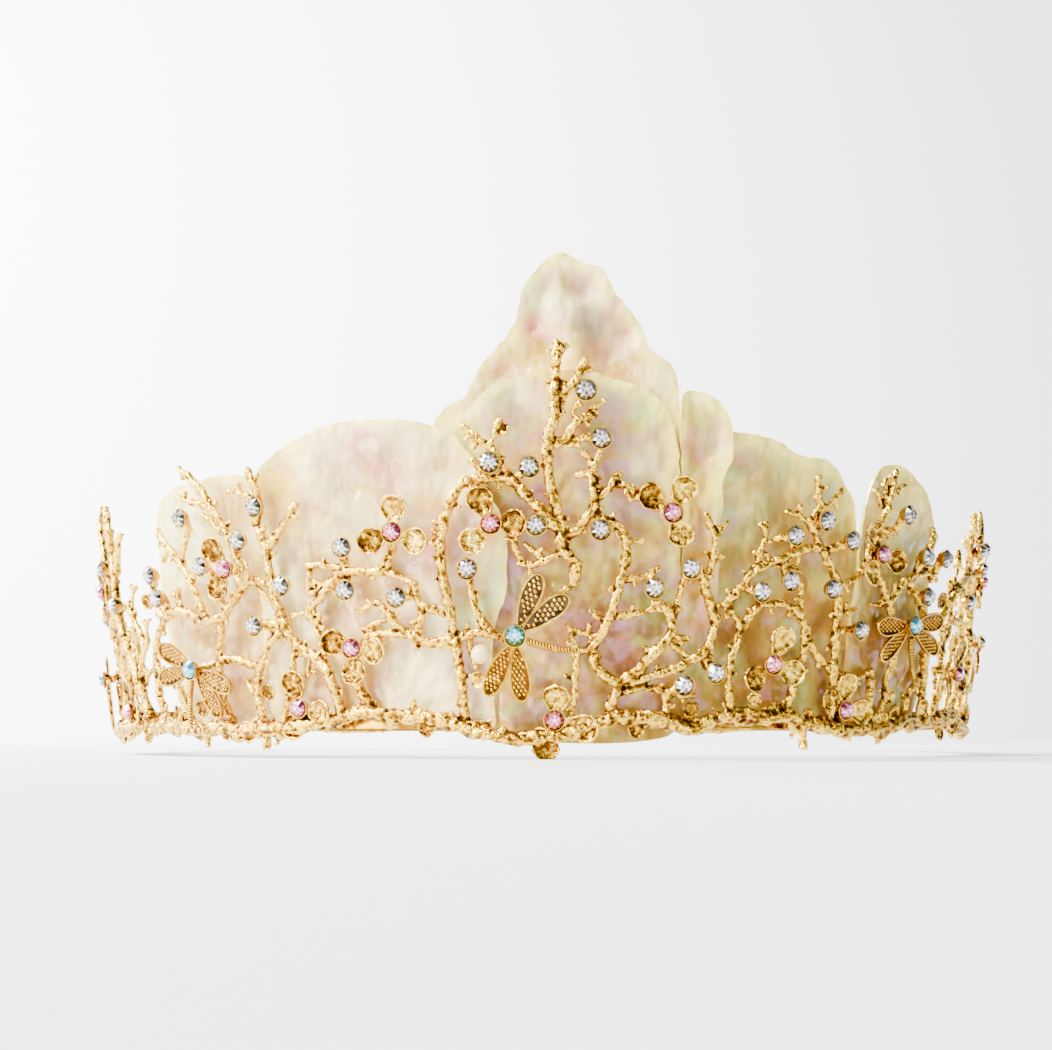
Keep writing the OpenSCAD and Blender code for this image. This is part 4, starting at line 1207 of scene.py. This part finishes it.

# %% [markdown]
# Mother-of-pearl is a cream shell with soft clouds of pink, lilac and pale green, thinner at its
# rims, where light through the thin edge is painted on as a yellow glow, with fine growth lines
# and a film of colour in its shine. An image would fix all that at one size, and a plain noise
# would put it anywhere. So the larger clouds were noted, each sheet stores them as a tint at its
# corners, and the finish adds small clouds and growth lines from noises in space.


# %% Finish: mother-of-pearl
def mix(nodes, links, factor, first, second):
    node = nodes.new("ShaderNodeMix")
    node.data_type = "RGBA"
    links.new(factor, node.inputs["Factor"])
    for socket, value in ((node.inputs[6], first), (node.inputs[7], second)):
        if isinstance(value, tuple):
            socket.default_value = (*value, 1)
        else:
            links.new(value, socket)
    return node.outputs[2]


CLOUD_FROM, CLOUD_FULL, CLOUD_SHARE = 0.52, 0.7, 0.6
RIB_FROM, RIB_FULL = 0.4, 0.7
RIB_SCALE, RIB_STRETCH = 900, (1, 1, 0.07)
FILM_SCALE, FILM_NANOMETRES = 45, (200, 800)
WAVE_SCALE, WAVE_STRETCH, WAVE_DEPTH = 170, (1, 1, 0.7), 3.0
BLACK = (0, 0, 0)


def nacre(name, clouds, seed, ribs):
    """A finish over the stored tint with small clouds of colour and ribs; seed shifts them."""
    material, nodes, links = shader(name)
    surface = nodes["Principled BSDF"]
    colour = stored(nodes, "tint").outputs["Color"]
    for k, (cloud, size) in enumerate(clouds):
        field = noise_node(nodes, links, 1000 / size, 3, shift=seed + 0.31 * k, distortion=0.6)
        stops = ((CLOUD_FROM, BLACK), (CLOUD_FULL, (CLOUD_SHARE,) * 3))
        where = ramp(nodes, links, field.outputs["Fac"], *stops)
        colour = mix(nodes, links, where.outputs["Color"], colour, cloud)
    lines = noise_node(nodes, links, RIB_SCALE, 3, stretch=RIB_STRETCH, shift=seed)
    bright = ramp(nodes, links, lines.outputs["Fac"], (RIB_FROM, BLACK), (RIB_FULL, (ribs,) * 3))
    colour = mix(nodes, links, bright.outputs["Color"], colour, WHITE)
    links.new(colour, surface.inputs["Base Color"])
    set_inputs(surface, {"Roughness": 0.16, "IOR": 1.6, "Coat Weight": 0.4, "Coat Roughness": 0.06,
                         "Thin Film IOR": 1.4})
    film = noise_node(nodes, links, FILM_SCALE, 2, shift=seed + 0.7, distortion=0.6)
    thickness = nodes.new("ShaderNodeMapRange")
    set_inputs(thickness, dict(zip(("To Min", "To Max"), FILM_NANOMETRES)))
    links.new(film.outputs["Fac"], thickness.inputs["Value"])
    links.new(thickness.outputs["Result"], surface.inputs["Thin Film Thickness"])
    waves = noise_node(nodes, links, WAVE_SCALE, 2, stretch=WAVE_STRETCH, shift=seed)
    low = bump(nodes, links, waves.outputs["Fac"], WAVE_DEPTH)
    high = bump(nodes, links, lines.outputs["Fac"], ribs, below=low)
    links.new(high.outputs["Normal"], surface.inputs["Normal"])
    return material


# BLUSH, HONEY and TAN: partly the sheets' own colours, partly painted shade and amber reflection of the
# gold
CREAM = (0.99, 0.78, 0.12)
BLUSH = (0.56, 0.3, 0.07)
ROSE = (0.76, 0.24, 0.22)
LILAC = (0.48, 0.2, 0.32)
MINT = (0.42, 0.62, 0.13)
HONEY = (0.8, 0.43, 0.02)
WHITE = (1.0, 0.93, 0.42)
TAN = (0.46, 0.2, 0.02)
IVORY = (1.0, 0.9, 0.46)
SLATE = (0.3, 0.2, 0.24)
# DEEP and MOSS colour the painted shade in folds, RIM the painted glow at rims, DUSK the painted shade low
# down
DEEP = (0.4, 0.17, 0.03)
MOSS = (0.32, 0.3, 0.08)
SAGE = (0.38, 0.42, 0.16)
RIM = (1.0, 0.86, 0.13)
OLIVE = (0.86, 0.72, 0.14)
DUSK = (0.55, 0.42, 0.26)
crest_nacre = nacre("crest_nacre", ((WHITE, 9), (ROSE, 5)), 0.0, 0.03)
center_nacre = nacre("center_nacre", ((CREAM, 8), (LILAC, 5), (MINT, 5)), 0.4, 0.05)
left_nacre = nacre("left_nacre", ((WHITE, 11), (ROSE, 6)), 0.9, 0.03)
right_nacre = nacre("right_nacre", ((CREAM, 9), (MINT, 6), (TAN, 4)), 1.3, 0.05)
print("four mother-of-pearl finishes")

# %% [markdown]
# Each shell is a thin, folded sheet that follows the wall in one of three layers. The table gives
# its layer, the hinge from which its folds fan out, its body colour, and its outline in arc and
# height. Its marks were noted where the real sheet changes colour or dips; many honey and tan marks
# low down between the twigs, and the dark body of the centre sheet, are partly the sheets' own
# colour and partly painted shade and painted amber reflection of the gold. A shell whose lower
# edge slips behind a neighbour has the arcs between which that edge is tucked in.

# %% Outlines and marks of the shells
# A mark is a place, a size, a colour, and how deep the sheet is dented there in mm
SHELLS = {
    "crest": dict(
        layer=3, hinge=(8, 10), folds=16, body=CREAM, finish=crest_nacre,
        outline=[
            (-13, 22), (-17, 30), (-19, 46), (-18.4, 54), (-15.4, 57.8), (-12.2, 58.6), (-11.4, 61.4),
            (-8, 66.4), (-4.2, 70.6), (-2.9, 76), (1.2, 82), (3.6, 83.2), (7, 81.2), (10.2, 81), (11.4, 77),
            (16.4, 71.6), (18, 66.6), (21, 65.2), (23, 62.4), (23.5, 58), (25.2, 50), (25.6, 40),
            (25.4, 26), (22, 22.4),
        ],
        marks=[
            (0.9, 80, 5, WHITE, 0), (9.6, 79, 3.5, OLIVE, 1.6), (6.4, 76.6, 2.2, LILAC, 1.8),
            (-0.4, 76.3, 2, MINT, 1.4), (-4, 74, 1.8, ROSE, 1), (3.4, 73.6, 3, WHITE, 0),
            (-1.6, 71.3, 2.4, ROSE, 1.6), (9, 71, 3, LILAC, 2.4), (8.6, 70, 1.6, SLATE, 0.4),
            (11.4, 75, 2.4, WHITE, 0), (13, 73, 1.6, ROSE, 1), (15.2, 70, 1.8, ROSE, 1.4),
            (11.6, 66.4, 4, TAN, 2.2), (17, 67.6, 2.4, WHITE, 0), (19.8, 62.6, 3.4, WHITE, 0),
            (-5.5, 63, 3.4, HONEY, 1.4), (-9.9, 60.4, 2.4, ROSE, 1.2), (0.4, 66.6, 3, HONEY, 1),
            (-8, 58, 4, WHITE, 0), (14, 62.6, 3, HONEY, 0.8),
        ],
    ),
    "center": dict(
        layer=2, tucked=(-20, -5), hinge=(4, 20), folds=13, body=BLUSH, finish=center_nacre,
        outline=[
            (-8.4, 1.2), (-9.2, 9), (-9, 14), (-12, 20), (-14.6, 34), (-14.8, 50), (-13.4, 55), (-9.8, 59),
            (-6, 61.6), (5.6, 63.2), (13.2, 61.4), (17.8, 59.8), (20.6, 57), (22.6, 53.4), (23.2, 49.6),
            (23.8, 36), (24.3, 22), (24, 8), (23.9, 2.2), (19, 1), (10, 0.4),
        ],
        marks=[
            (-9.8, 56.6, 3, WHITE, 0), (-6.4, 57.6, 2, MINT, 0.7), (-3, 59.4, 2.6, WHITE, 0),
            (-2.6, 53.4, 2.4, SAGE, 0.7), (1, 55, 3, BLUSH, 0), (-5.6, 51, 3, TAN, 0.6),
            (-10, 50, 4, CREAM, 0), (7, 59, 4, CREAM, 0.3), (11.6, 57.4, 3.4, SAGE, 0.6),
            (17, 55.6, 3, MINT, 0.5), (18.4, 52.4, 1.6, ROSE, 0.3), (10, 52.4, 3, TAN, 0.7),
            (13.6, 48, 3.4, BLUSH, 0.1), (17, 46, 3, WHITE, 0), (-6, 41, 4, HONEY, 0.4),
            (-12, 46, 4, HONEY, 0.5), (-4, 27, 4, LILAC, 0.4), (3, 46, 5, TAN, 0.4),
            (18, 30, 5, CREAM, 0.1), (20, 22, 5, MINT, 0.3), (11, 18, 6, LILAC, 0.2), (8, 12, 4, CREAM, 0),
            (3, 33, 7, TAN, 0.3), (21, 38, 4, HONEY, 0.4), (14, 40, 4, LILAC, 0.3), (0, 20, 6, HONEY, 0.2),
            (12, 26, 5, HONEY, 0.3),
        ],
    ),
    "center_right": dict(
        layer=2, tucked=(20, 26), hinge=(20, 30), folds=9, body=CREAM, finish=crest_nacre,
        outline=[
            (23.2, 2.4), (23.3, 20), (24.6, 25), (24.2, 36), (23.7, 46), (23.6, 52), (23.2, 57), (24, 60.4),
            (27, 60.8), (29.6, 58.8), (31.6, 56), (32.8, 53), (32.6, 49), (30.8, 45.6), (31.2, 36),
            (30.8, 22), (30.6, 12), (30.5, 3.6),
        ],
        marks=[
            (25.6, 54, 3, TAN, 0.8), (26.4, 49.6, 3, TAN, 0.7), (30.4, 54.6, 1.6, ROSE, 0.3),
            (29.4, 50.6, 1.8, SAGE, 0.6), (31.8, 51, 1.8, WHITE, 0), (27, 58.6, 2.4, OLIVE, 0.5),
            (25, 43, 4, HONEY, 0.2), (27, 30, 8, HONEY, 0.3), (26, 12, 6, MINT, 0.1),
        ],
    ),
    "left": dict(
        layer=1, hinge=(-24, 6), folds=15, body=IVORY, finish=left_nacre,
        outline=[
            (-7.2, 1.8), (-8, 9), (-8, 20), (-5.6, 26), (-5, 35), (-7.6, 42), (-11.6, 50.6), (-17.4, 54.4),
            (-31, 55.8), (-40, 53.8), (-47.6, 50.8), (-51, 46.8), (-52, 38), (-51, 14), (-51, 2.6),
            (-38, 4), (-28, 5.2), (-20, 4.4), (-13, 3),
        ],
        marks=[
            (-27.3, 50, 3.4, ROSE, 0.6), (-30.6, 49.6, 2.4, SLATE, 0.5), (-27.6, 45.6, 3, TAN, 0.5),
            (-24.6, 47.6, 2.6, SAGE, 0.5), (-35.6, 48.6, 2.4, ROSE, 0.4), (-33.6, 42.6, 4, SAGE, 0.6),
            (-27, 41.4, 3, BLUSH, 0.3), (-15, 48, 4, BLUSH, 0.4), (-18, 42, 5, HONEY, 0.5),
            (-38.4, 40, 3, HONEY, 0.5), (-40, 32, 4, TAN, 0.6), (-46, 46, 5, HONEY, 0.3),
            (-22, 36, 5, WHITE, 0), (-14, 34, 6, TAN, 0.3), (-19, 13, 8, WHITE, 0),
            (-12, 12, 4, LILAC, 0.3), (-6.5, 30, 3, WHITE, 0), (-10, 24, 4, MINT, 0.3),
            (-30, 24, 6, HONEY, 0.4), (-37, 26, 4, TAN, 0.4), (-42, 20, 6, WHITE, 0),
            (-24, 31, 5, HONEY, 0.3), (-33, 11, 7, HONEY, 0.5), (-46, 12, 6, HONEY, 0.4),
            (-44, 40, 4, HONEY, 0.4), (-8, 36, 3, HONEY, 0.3),
        ],
    ),
    "right": dict(
        layer=3, tucked=(0, 33, 57, 99), hinge=(40, 10), folds=16, body=OLIVE, finish=right_nacre,
        outline=[
            (29.6, 4.4), (29.7, 20), (28, 27), (26.6, 36), (27, 48), (31, 54.6), (42.6, 53.2), (46.4, 51.2),
            (51.6, 50.9), (55, 49.6), (60.8, 44.4), (62, 40), (64, 34), (64, 24), (63, 14), (60.2, 12.4),
            (60, 3), (50, 3.6), (42, 4.8),
        ],
        marks=[
            (33.4, 48, 2, MINT, 0.3), (35, 49, 1.6, ROSE, 0.6), (36.6, 52, 2.4, OLIVE, 0.7),
            (38, 47, 2.4, ROSE, 0.6), (39.6, 44, 3.6, MINT, 0), (44, 49, 3, OLIVE, 0.5),
            (44, 45, 2.4, WHITE, 0), (49, 48, 3, CREAM, 0.3), (46, 40, 4, HONEY, 0.5),
            (55, 44, 4, SAGE, 0.4), (38, 36, 5, SAGE, 0.3), (36, 20, 5, TAN, 0.5), (50, 36, 6, HONEY, 0.4),
            (50, 14, 6, TAN, 0.3), (58, 38, 4, TAN, 0.5), (42, 28, 6, HONEY, 0.3), (56, 24, 6, HONEY, 0.3),
            (40, 10, 6, HONEY, 0.2),
        ],
    ),
    "far_left": dict(
        layer=2, tucked=(-53, -40), hinge=(-60, 6), folds=12, body=WHITE, finish=left_nacre,
        outline=[
            (-50, 2), (-50, 14), (-47, 17), (-45.4, 28), (-46, 40), (-51, 46.4), (-56, 48.6), (-65, 49),
            (-79.6, 47.6), (-83, 44), (-83.6, 36), (-82, 20), (-78, 2.2),
        ],
        marks=[
            (-60, 42, 5, HONEY, 0.5), (-60, 30, 6, CREAM, 0.3), (-66, 20, 8, TAN, 0.4),
            (-54, 24, 5, HONEY, 0.4), (-58, 10, 7, TAN, 0.4), (-76, 24, 6, HONEY, 0.4),
        ],
    ),
    "far_right": dict(
        layer=1, hinge=(72, 6), folds=12, body=CREAM, finish=right_nacre,
        outline=[
            (59, 2), (59, 22), (60.4, 40), (61.8, 47), (64.4, 50.8), (70, 52), (75, 50.4), (80, 46.4),
            (84.6, 40), (86, 22), (83, 2.4),
        ],
        marks=[
            (66, 46, 4, WHITE, 0), (72, 32, 5, MINT, 0.4), (78, 40, 5, WHITE, 0), (66, 20, 7, TAN, 0.4),
            (76, 16, 7, TAN, 0.3), (68, 34, 4, HONEY, 0.5),
        ],
    ),
}
print("marks:", {name: len(sheet["marks"]) for name, sheet in SHELLS.items()})

# %% [markdown]
# The face of a shell is never flat: ridges fan out from its hinge, growth waves run across them,
# and it dips at its marks. Sculpting could do this for one sheet; a small function of arc and
# height for each effect does it for all seven. All sheets also lean back together by one common
# sway, which lets them stay clear of each other, and only the crest's free top may be dented
# deeper. The vector noise starts from the clock unless it gets a seed, so it gets one, or no two
# runs would be alike.

# %% Folds, marks and sway
NOISE_SEED = 7
noise.seed_set(NOISE_SEED)
FOLD_DEPTH = 0.78
FOLD_MIDDLE = 0.35
RIDGE_SHARE = 0.28
RIDGE_FULL_FROM = 12
RIDGE_WANDER = 3
GROWTH_SHARE = 0.07
GROWTH_TURN = 0.8
GROWTH_WANDER = 5
WANDER_SIZE = 14
LUMP_SHARE = 0.35
LUMP_SIZE = 5
SWAY_DEPTH = 1.5
SWAY_MEAN = 0.5
SWAY_SPREAD = 0.9
SWAY_SIZE = (9, 11)
SWAY_FROM = (14, 32)
MARK_STRAY = 1.6
STRAY_SIZE = 4
MARK_FLAT = 0.85
MARK_WEIGHT = 0.9


def rise(x, limits):
    """A soft step from 0 to 1 between two limits."""
    t = max(0.0, min(1.0, (x - limits[0]) / (limits[1] - limits[0])))
    return t * t * (3 - 2 * t)


def fold(u, h, hinge, count):
    """How deep the face lies, 0 to 1: ridges that fan out from the hinge, and growth waves."""
    away = math.hypot(u - hinge[0], h - hinge[1])
    turn = math.atan2(u - hinge[0], h - hinge[1])
    wander = noise.noise(Vector((u / WANDER_SIZE, h / WANDER_SIZE, hinge[0])))
    ridge = math.sin(turn * count + RIDGE_WANDER * wander)
    growth = math.sin(away * GROWTH_TURN + GROWTH_WANDER * wander)
    lumps = noise.noise(Vector((u / LUMP_SIZE, h / LUMP_SIZE, hinge[1])))
    fan = RIDGE_SHARE * ridge * min(1.0, away / RIDGE_FULL_FROM)
    return FOLD_MIDDLE + fan + GROWTH_SHARE * growth + LUMP_SHARE * lumps


def sway(u, h):
    """How far all sheets lean back together, in mm; they stay clear of each other that way."""
    lean = SWAY_MEAN + SWAY_SPREAD * noise.noise(Vector((u / SWAY_SIZE[0], h / SWAY_SIZE[1], 7.7)))
    return SWAY_DEPTH * min(1.0, max(0.0, lean)) * rise(h, SWAY_FROM)


def marked(u, h, body, marks):
    """Colour and depth of the marks at a place, each soft and a little out of round."""
    stray = noise.noise_vector(Vector((u / STRAY_SIZE, h / STRAY_SIZE, 0.5))) * MARK_STRAY
    colour = Vector(body)
    depth = 0.0
    for mark_u, mark_h, size, tint, dent in marks:
        away = math.hypot(u + stray.x - mark_u, (h + stray.y - mark_h) * MARK_FLAT) / size
        near = math.exp(-away * away)
        colour = colour.lerp(Vector(tint), MARK_WEIGHT * near)
        depth += dent * near
    return colour, depth


print("folds", FOLD_DEPTH, "mm deep, sway", SWAY_DEPTH, "mm")

# %% [markdown]
# A sheet starts as a flat grid in arc and height. Grid points outside the outline are deleted,
# and the new edge is pulled onto the outline, which gives a clean rim without a knife cut.
# Solidify then makes the grid a wall.

# %% Cutting a sheet to its outline
SHELL_T = 1.0
CELL = 0.6
POINT_GAP = 0.5
RAGGED_FROM = (16, 26)
SLOW_RAGS, SLOW_REACH = 0.16, 0.6
QUICK_RAGS, QUICK_REACH = 0.7, 0.3


def cut_corners(points):
    """An outline with its corners rounded by cutting them, as on the solid."""
    cut = []
    for a, b in zip(points, points[1:] + points[:1]):
        cut += [(a[0] * 0.75 + b[0] * 0.25, a[1] * 0.75 + b[1] * 0.25),
                (a[0] * 0.25 + b[0] * 0.75, a[1] * 0.25 + b[1] * 0.75)]
    return cut


def outline_points(points):
    """The rounded outline as an array of close points, with a slightly ragged rim."""
    loop = cut_corners(cut_corners(points))
    close = []
    for a, b in zip(loop, loop[1:] + loop[:1]):
        steps = max(1, round(math.dist(a, b) / POINT_GAP))
        for k in range(steps):
            t = k / steps
            close.append((a[0] + (b[0] - a[0]) * t, a[1] + (b[1] - a[1]) * t))
    ragged = []
    for x, y in close:
        loose = rise(y, RAGGED_FROM)
        slow = noise.noise_vector(Vector((x * SLOW_RAGS, y * SLOW_RAGS, 3))) * SLOW_REACH * loose
        quick = noise.noise_vector(Vector((x * QUICK_RAGS, y * QUICK_RAGS, 0))) * QUICK_REACH * loose
        ragged.append((x + slow.x + quick.x, y + slow.y + quick.y))
    return np.array(ragged)


def inside(points, loop):
    """Which points lie inside a closed loop, by counting the crossings of a level line."""
    x, y = points[:, :1], points[:, 1:2]
    x1, y1 = loop[:, 0], loop[:, 1]
    x2, y2 = np.roll(x1, -1), np.roll(y1, -1)
    spans = (y1 > y) != (y2 > y)
    height = np.where(y2 == y1, 1e-9, y2 - y1)
    crossing = (x2 - x1) * (y - y1) / height + x1
    return (spans & (x < crossing)).sum(axis=1) % 2 == 1


def cut_sheet(loop):
    """A flat sheet in millimetres with its face upwards, cut to a closed loop."""
    low, high = loop.min(axis=0), loop.max(axis=0)
    columns, rows = (int(math.ceil(size / CELL)) + 2 for size in high - low)
    bpy.ops.mesh.primitive_grid_add(x_subdivisions=columns, y_subdivisions=rows, size=1)
    sheet = bpy.context.object
    place = Matrix.Translation((*((low + high) / 2), 0))
    sheet.data.transform(place @ Matrix.Diagonal((columns * CELL, rows * CELL, 1, 1)))
    keep = inside(np.array([v.co[:2] for v in sheet.data.vertices]), loop)
    choose_corners(sheet, lambda v: not keep[v.index])
    bpy.ops.mesh.delete(type="VERT")
    bpy.ops.object.mode_set(mode="OBJECT")
    uses = {}
    for face in sheet.data.polygons:
        for key in face.edge_keys:
            uses[key] = uses.get(key, 0) + 1
    border = {i for key, count in uses.items() if count == 1 for i in key}
    for i in border:
        v = sheet.data.vertices[i]
        gaps = np.hypot(loop[:, 0] - v.co.x, loop[:, 1] - v.co.y)
        v.co.x, v.co.y = loop[gaps.argmin()]
    add_wall(sheet, SHELL_T)
    apply_modifiers(sheet)
    return sheet


print("sheets", SHELL_T, "mm thick, cut from squares of", CELL, "mm")

# %% [markdown]
# Last, every corner of the flat sheet gets its depth and its tint, and goes to its place round
# the crown. The wall thins towards its rim, with a faint hem inside it. Painted shade in brown and
# green goes into the folds, painted light onto the ridges and a painted yellow glow onto the rims,
# and low down on the right all turns amber as painted shade, where little light reaches the real
# shells.

# %% Make the shells
GLUE_GAP = 0.3
CORAL_GAP = 0.2
LIP = (0.7, 3.4)
HEM_DEPTH, HEM_FROM_RIM, HEM_WIDTH = 0.25, 2.2, 0.9
RIM_THINNER = 0.35
FREE_FROM = (60, 66)
FREE_DEPTH = 2.2
TUCK = 0.72
TUCK_GAP = (1.4, 2.2)
TUCK_BELOW = (20, 24)
# Painted shade in the folds, painted light on ridges and rims, and painted amber shade low down on the
# right
FOLD_SHADE_MEAN, FOLD_SHADE_SPREAD, FOLD_SHADE_SIZE = 0.5, 0.9, 8
FOLD_SHADE_WEIGHT, FOLD_SHADE_BAND = 0.55, (0.25, 1.0)
RIDGE_WEIGHT, RIDGE_BAND = 0.42, (0, 0.3)
RIM_WEIGHT, RIM_BAND = 0.8, (0.2, 2.6)
DUSK_BELOW = (20, 54)
DUSK_RIGHT_OF = (-12, 2)


def layer_r(layer, h):
    depth = BRANCH_R + CORAL_GAP + (layer - 1) * (SHELL_T + GLUE_GAP)
    return max(COLLAR_R, wall_r(h) - depth)


def face_out(u, h, gap, inner, depth, spare, back):
    """How far a corner of the face or the back stands in front of its layer, in mm."""
    free = min(spare, max(0.0, depth))
    if back:
        return -sway(u, h) - SHELL_T - free * inner + RIM_THINNER * (1 - inner)
    sink = min(FOLD_DEPTH, max(0.0, depth - spare)) + free
    hem = HEM_DEPTH * math.exp(-((gap - HEM_FROM_RIM) / HEM_WIDTH) ** 2)
    return -sway(u, h) - sink * inner - hem * (1 - inner)


def tinted_with_painted_light(u, h, gap, inner, deep, colour):
    """The marks' colour with painted shade in folds and low down, painted light on ridges and rim."""
    # painted shade in the folds, in hues from moss green to brown
    fold_shade_hue = FOLD_SHADE_MEAN + FOLD_SHADE_SPREAD * noise.noise(Vector((u / FOLD_SHADE_SIZE, h / FOLD_SHADE_SIZE, 3.3)))
    shade = Vector(MOSS).lerp(Vector(DEEP), min(1.0, max(0.0, fold_shade_hue)))
    colour = colour.lerp(shade, FOLD_SHADE_WEIGHT * rise(deep, FOLD_SHADE_BAND) * inner)
    # painted highlight on the ridges
    colour = colour.lerp(Vector(WHITE), RIDGE_WEIGHT * (1 - rise(deep, RIDGE_BAND)) * inner)
    # painted yellow glow of light through the thin rim
    colour = colour.lerp(Vector(RIM), RIM_WEIGHT * (1 - rise(gap, RIM_BAND)))
    # painted shade low down on the right, where little light reaches
    dusk = (1 - rise(h, DUSK_BELOW)) * rise(u, DUSK_RIGHT_OF)
    return colour * Vector((1, 1, 1)).lerp(Vector(DUSK), dusk)


def shell(name, layer, hinge, folds, body, finish, outline, marks, tucked=()):
    loop = outline_points(outline)
    sheet = cut_sheet(loop)
    tint = sheet.data.attributes.new("tint", "FLOAT_COLOR", "POINT")
    for v in sheet.data.vertices:
        u, h, back = v.co.x, v.co.y, v.co.z < -SHELL_T / 2
        gap = float(np.hypot(loop[:, 0] - u, loop[:, 1] - h).min())
        inner = rise(gap, LIP)
        colour, dent = marked(u, h, body, marks)
        depth = FOLD_DEPTH * fold(u, h, hinge, folds) + dent
        spare = 0.0 if layer < 3 else FREE_DEPTH * rise(h, FREE_FROM)
        out = face_out(u, h, gap, inner, depth, spare, back)
        if any(lo < u < hi for lo, hi in zip(tucked[::2], tucked[1::2])):
            tuck = (1 - rise(gap, TUCK_GAP)) * (1 - rise(h, TUCK_BELOW))
            out += ((-SHELL_T if back else -TUCK) - out) * tuck
        # the tint holds the marks together with the painted light and shade
        tint.data[v.index].color = (*tinted_with_painted_light(u, h, gap, inner, depth / FOLD_DEPTH, colour), 1)
        v.co = on_wall(u, h, out, layer_r(layer, h))
    smooth(sheet, 60)
    sheet.name = "pearl_shell_" + name
    sheet.data.materials.clear()
    sheet.data.materials.append(finish)
    finish_piece(sheet, "shell", "shell_" + name)


for name, sheet in SHELLS.items():
    shell(name, **sheet)

# %% [markdown]
# The hoop and the cream bead are true as the solids give them, so they stay and only get their
# finishes: smooth polished strip metal, and a warm glossy bead.


# %% Finish the solids that stay
def bead_finish():
    material, nodes, links = shader("cream_bead_gloss")
    surface = nodes["Principled BSDF"]
    cloud = noise_node(nodes, links, 500, 2)
    stops = ((0.4, (0.92, 0.66, 0.16)), (0.65, (1.0, 0.86, 0.36)))
    colour = ramp(nodes, links, cloud.outputs["Fac"], *stops)
    links.new(colour.outputs["Color"], surface.inputs["Base Color"])
    set_inputs(surface, {"Roughness": 0.15, "Coat Weight": 0.8})
    return material


for node, finish in (("hoop", strip_gold), ("cream_bead", bead_finish())):
    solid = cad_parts[node]
    solid.data.materials.clear()
    solid.data.materials.append(finish)
    print(node, "keeps its solid")

# %% [markdown]
# The photograph is nearly white and lit from the upper left. A pale floor meets a pale backdrop
# that has a lamp of its own. One strong window light stands at the upper left, rather small so
# that polished metal sparkles, with a low one under it. A dim strip in front, a weak fill on the
# right and a small lamp over the crest do the rest. The room is dark low down on the right, which
# leaves the gold something dark to reflect.

# %% Floor and backdrop
FLOOR_SIZE = 6.0
BACKDROP_Y = 1.1
STAGE_GREY = (0.78, 0.79, 0.81, 1)


def stage_finish():
    material, nodes, _ = shader("pale_stage")
    set_inputs(nodes["Principled BSDF"], {"Base Color": STAGE_GREY, "Roughness": 0.7})
    return material


bpy.ops.mesh.primitive_plane_add(size=FLOOR_SIZE, location=(0, 0, FLOOR_LEVEL * MM))
floor = settle(bpy.context.object)
floor.name = "floor"
bpy.ops.mesh.primitive_plane_add(size=FLOOR_SIZE, location=(0, BACKDROP_Y, 0),
                                 rotation=(math.radians(90), 0, 0))
backdrop = settle(bpy.context.object)
backdrop.name = "backdrop"
for sheet in (floor, backdrop):
    sheet.data.materials.append(stage_finish())
print("floor at", FLOOR_LEVEL, "mm, backdrop", BACKDROP_Y, "m behind")

# %% Lights and room
CROWN_MIDDLE = (0, 0, 0.03)
WINDOW_WHITE = (1, 0.99, 0.93)
LIGHT_WAY = (-0.55, -0.35, 0.76)
ROOM_STRENGTH = 0.35


def soft_light(name, place, aim, size, watts, colour=(1, 1, 1)):
    data = bpy.data.lights.new(name, "AREA")
    data.size = size
    data.energy = watts
    data.color = colour
    lamp = bpy.data.objects.new(name, data)
    lamp.location = place
    lamp.rotation_euler = (Vector(aim) - Vector(place)).to_track_quat("-Z", "Y").to_euler()
    bpy.context.collection.objects.link(lamp)


soft_light("window_left", (-0.75, -0.75, 0.95), CROWN_MIDDLE, 0.3, 66, WINDOW_WHITE)
soft_light("window_low", (-0.85, -0.8, 0.2), CROWN_MIDDLE, 0.4, 13, WINDOW_WHITE)
soft_light("front_strip", (0.25, -0.9, 0.75), (0, -0.05, 0.03), 0.15, 4)
soft_light("fill_right", (0.9, -0.3, 0.3), CROWN_MIDDLE, 0.4, 0.6, (0.95, 0.97, 1))
soft_light("over_crest", (-0.07, -0.18, 0.19), (0, -0.1, 0.07), 0.08, 0.4, WINDOW_WHITE)
soft_light("backdrop_glow", (-0.9, 0.2, 0.7), (-0.4, 1.1, 0.3), 0.8, 130)
world = bpy.data.worlds.new("room")
world.use_nodes = True
nodes, links = world.node_tree.nodes, world.node_tree.links
way = nodes.new("ShaderNodeTexCoord")
towards = nodes.new("ShaderNodeVectorMath")
towards.operation = "DOT_PRODUCT"
towards.inputs[1].default_value = LIGHT_WAY
links.new(way.outputs["Generated"], towards.inputs[0])
shades = ((0.0, (0.03, 0.025, 0.02)), (0.35, (0.2, 0.2, 0.2)), (0.9, (1, 1, 1)))
glow = ramp(nodes, links, towards.outputs["Value"], *shades)
links.new(glow.outputs["Color"], nodes["Background"].inputs["Color"])
nodes["Background"].inputs["Strength"].default_value = ROOM_STRENGTH
bpy.context.scene.world = world
print(len(bpy.data.lights), "lights and a dim room")
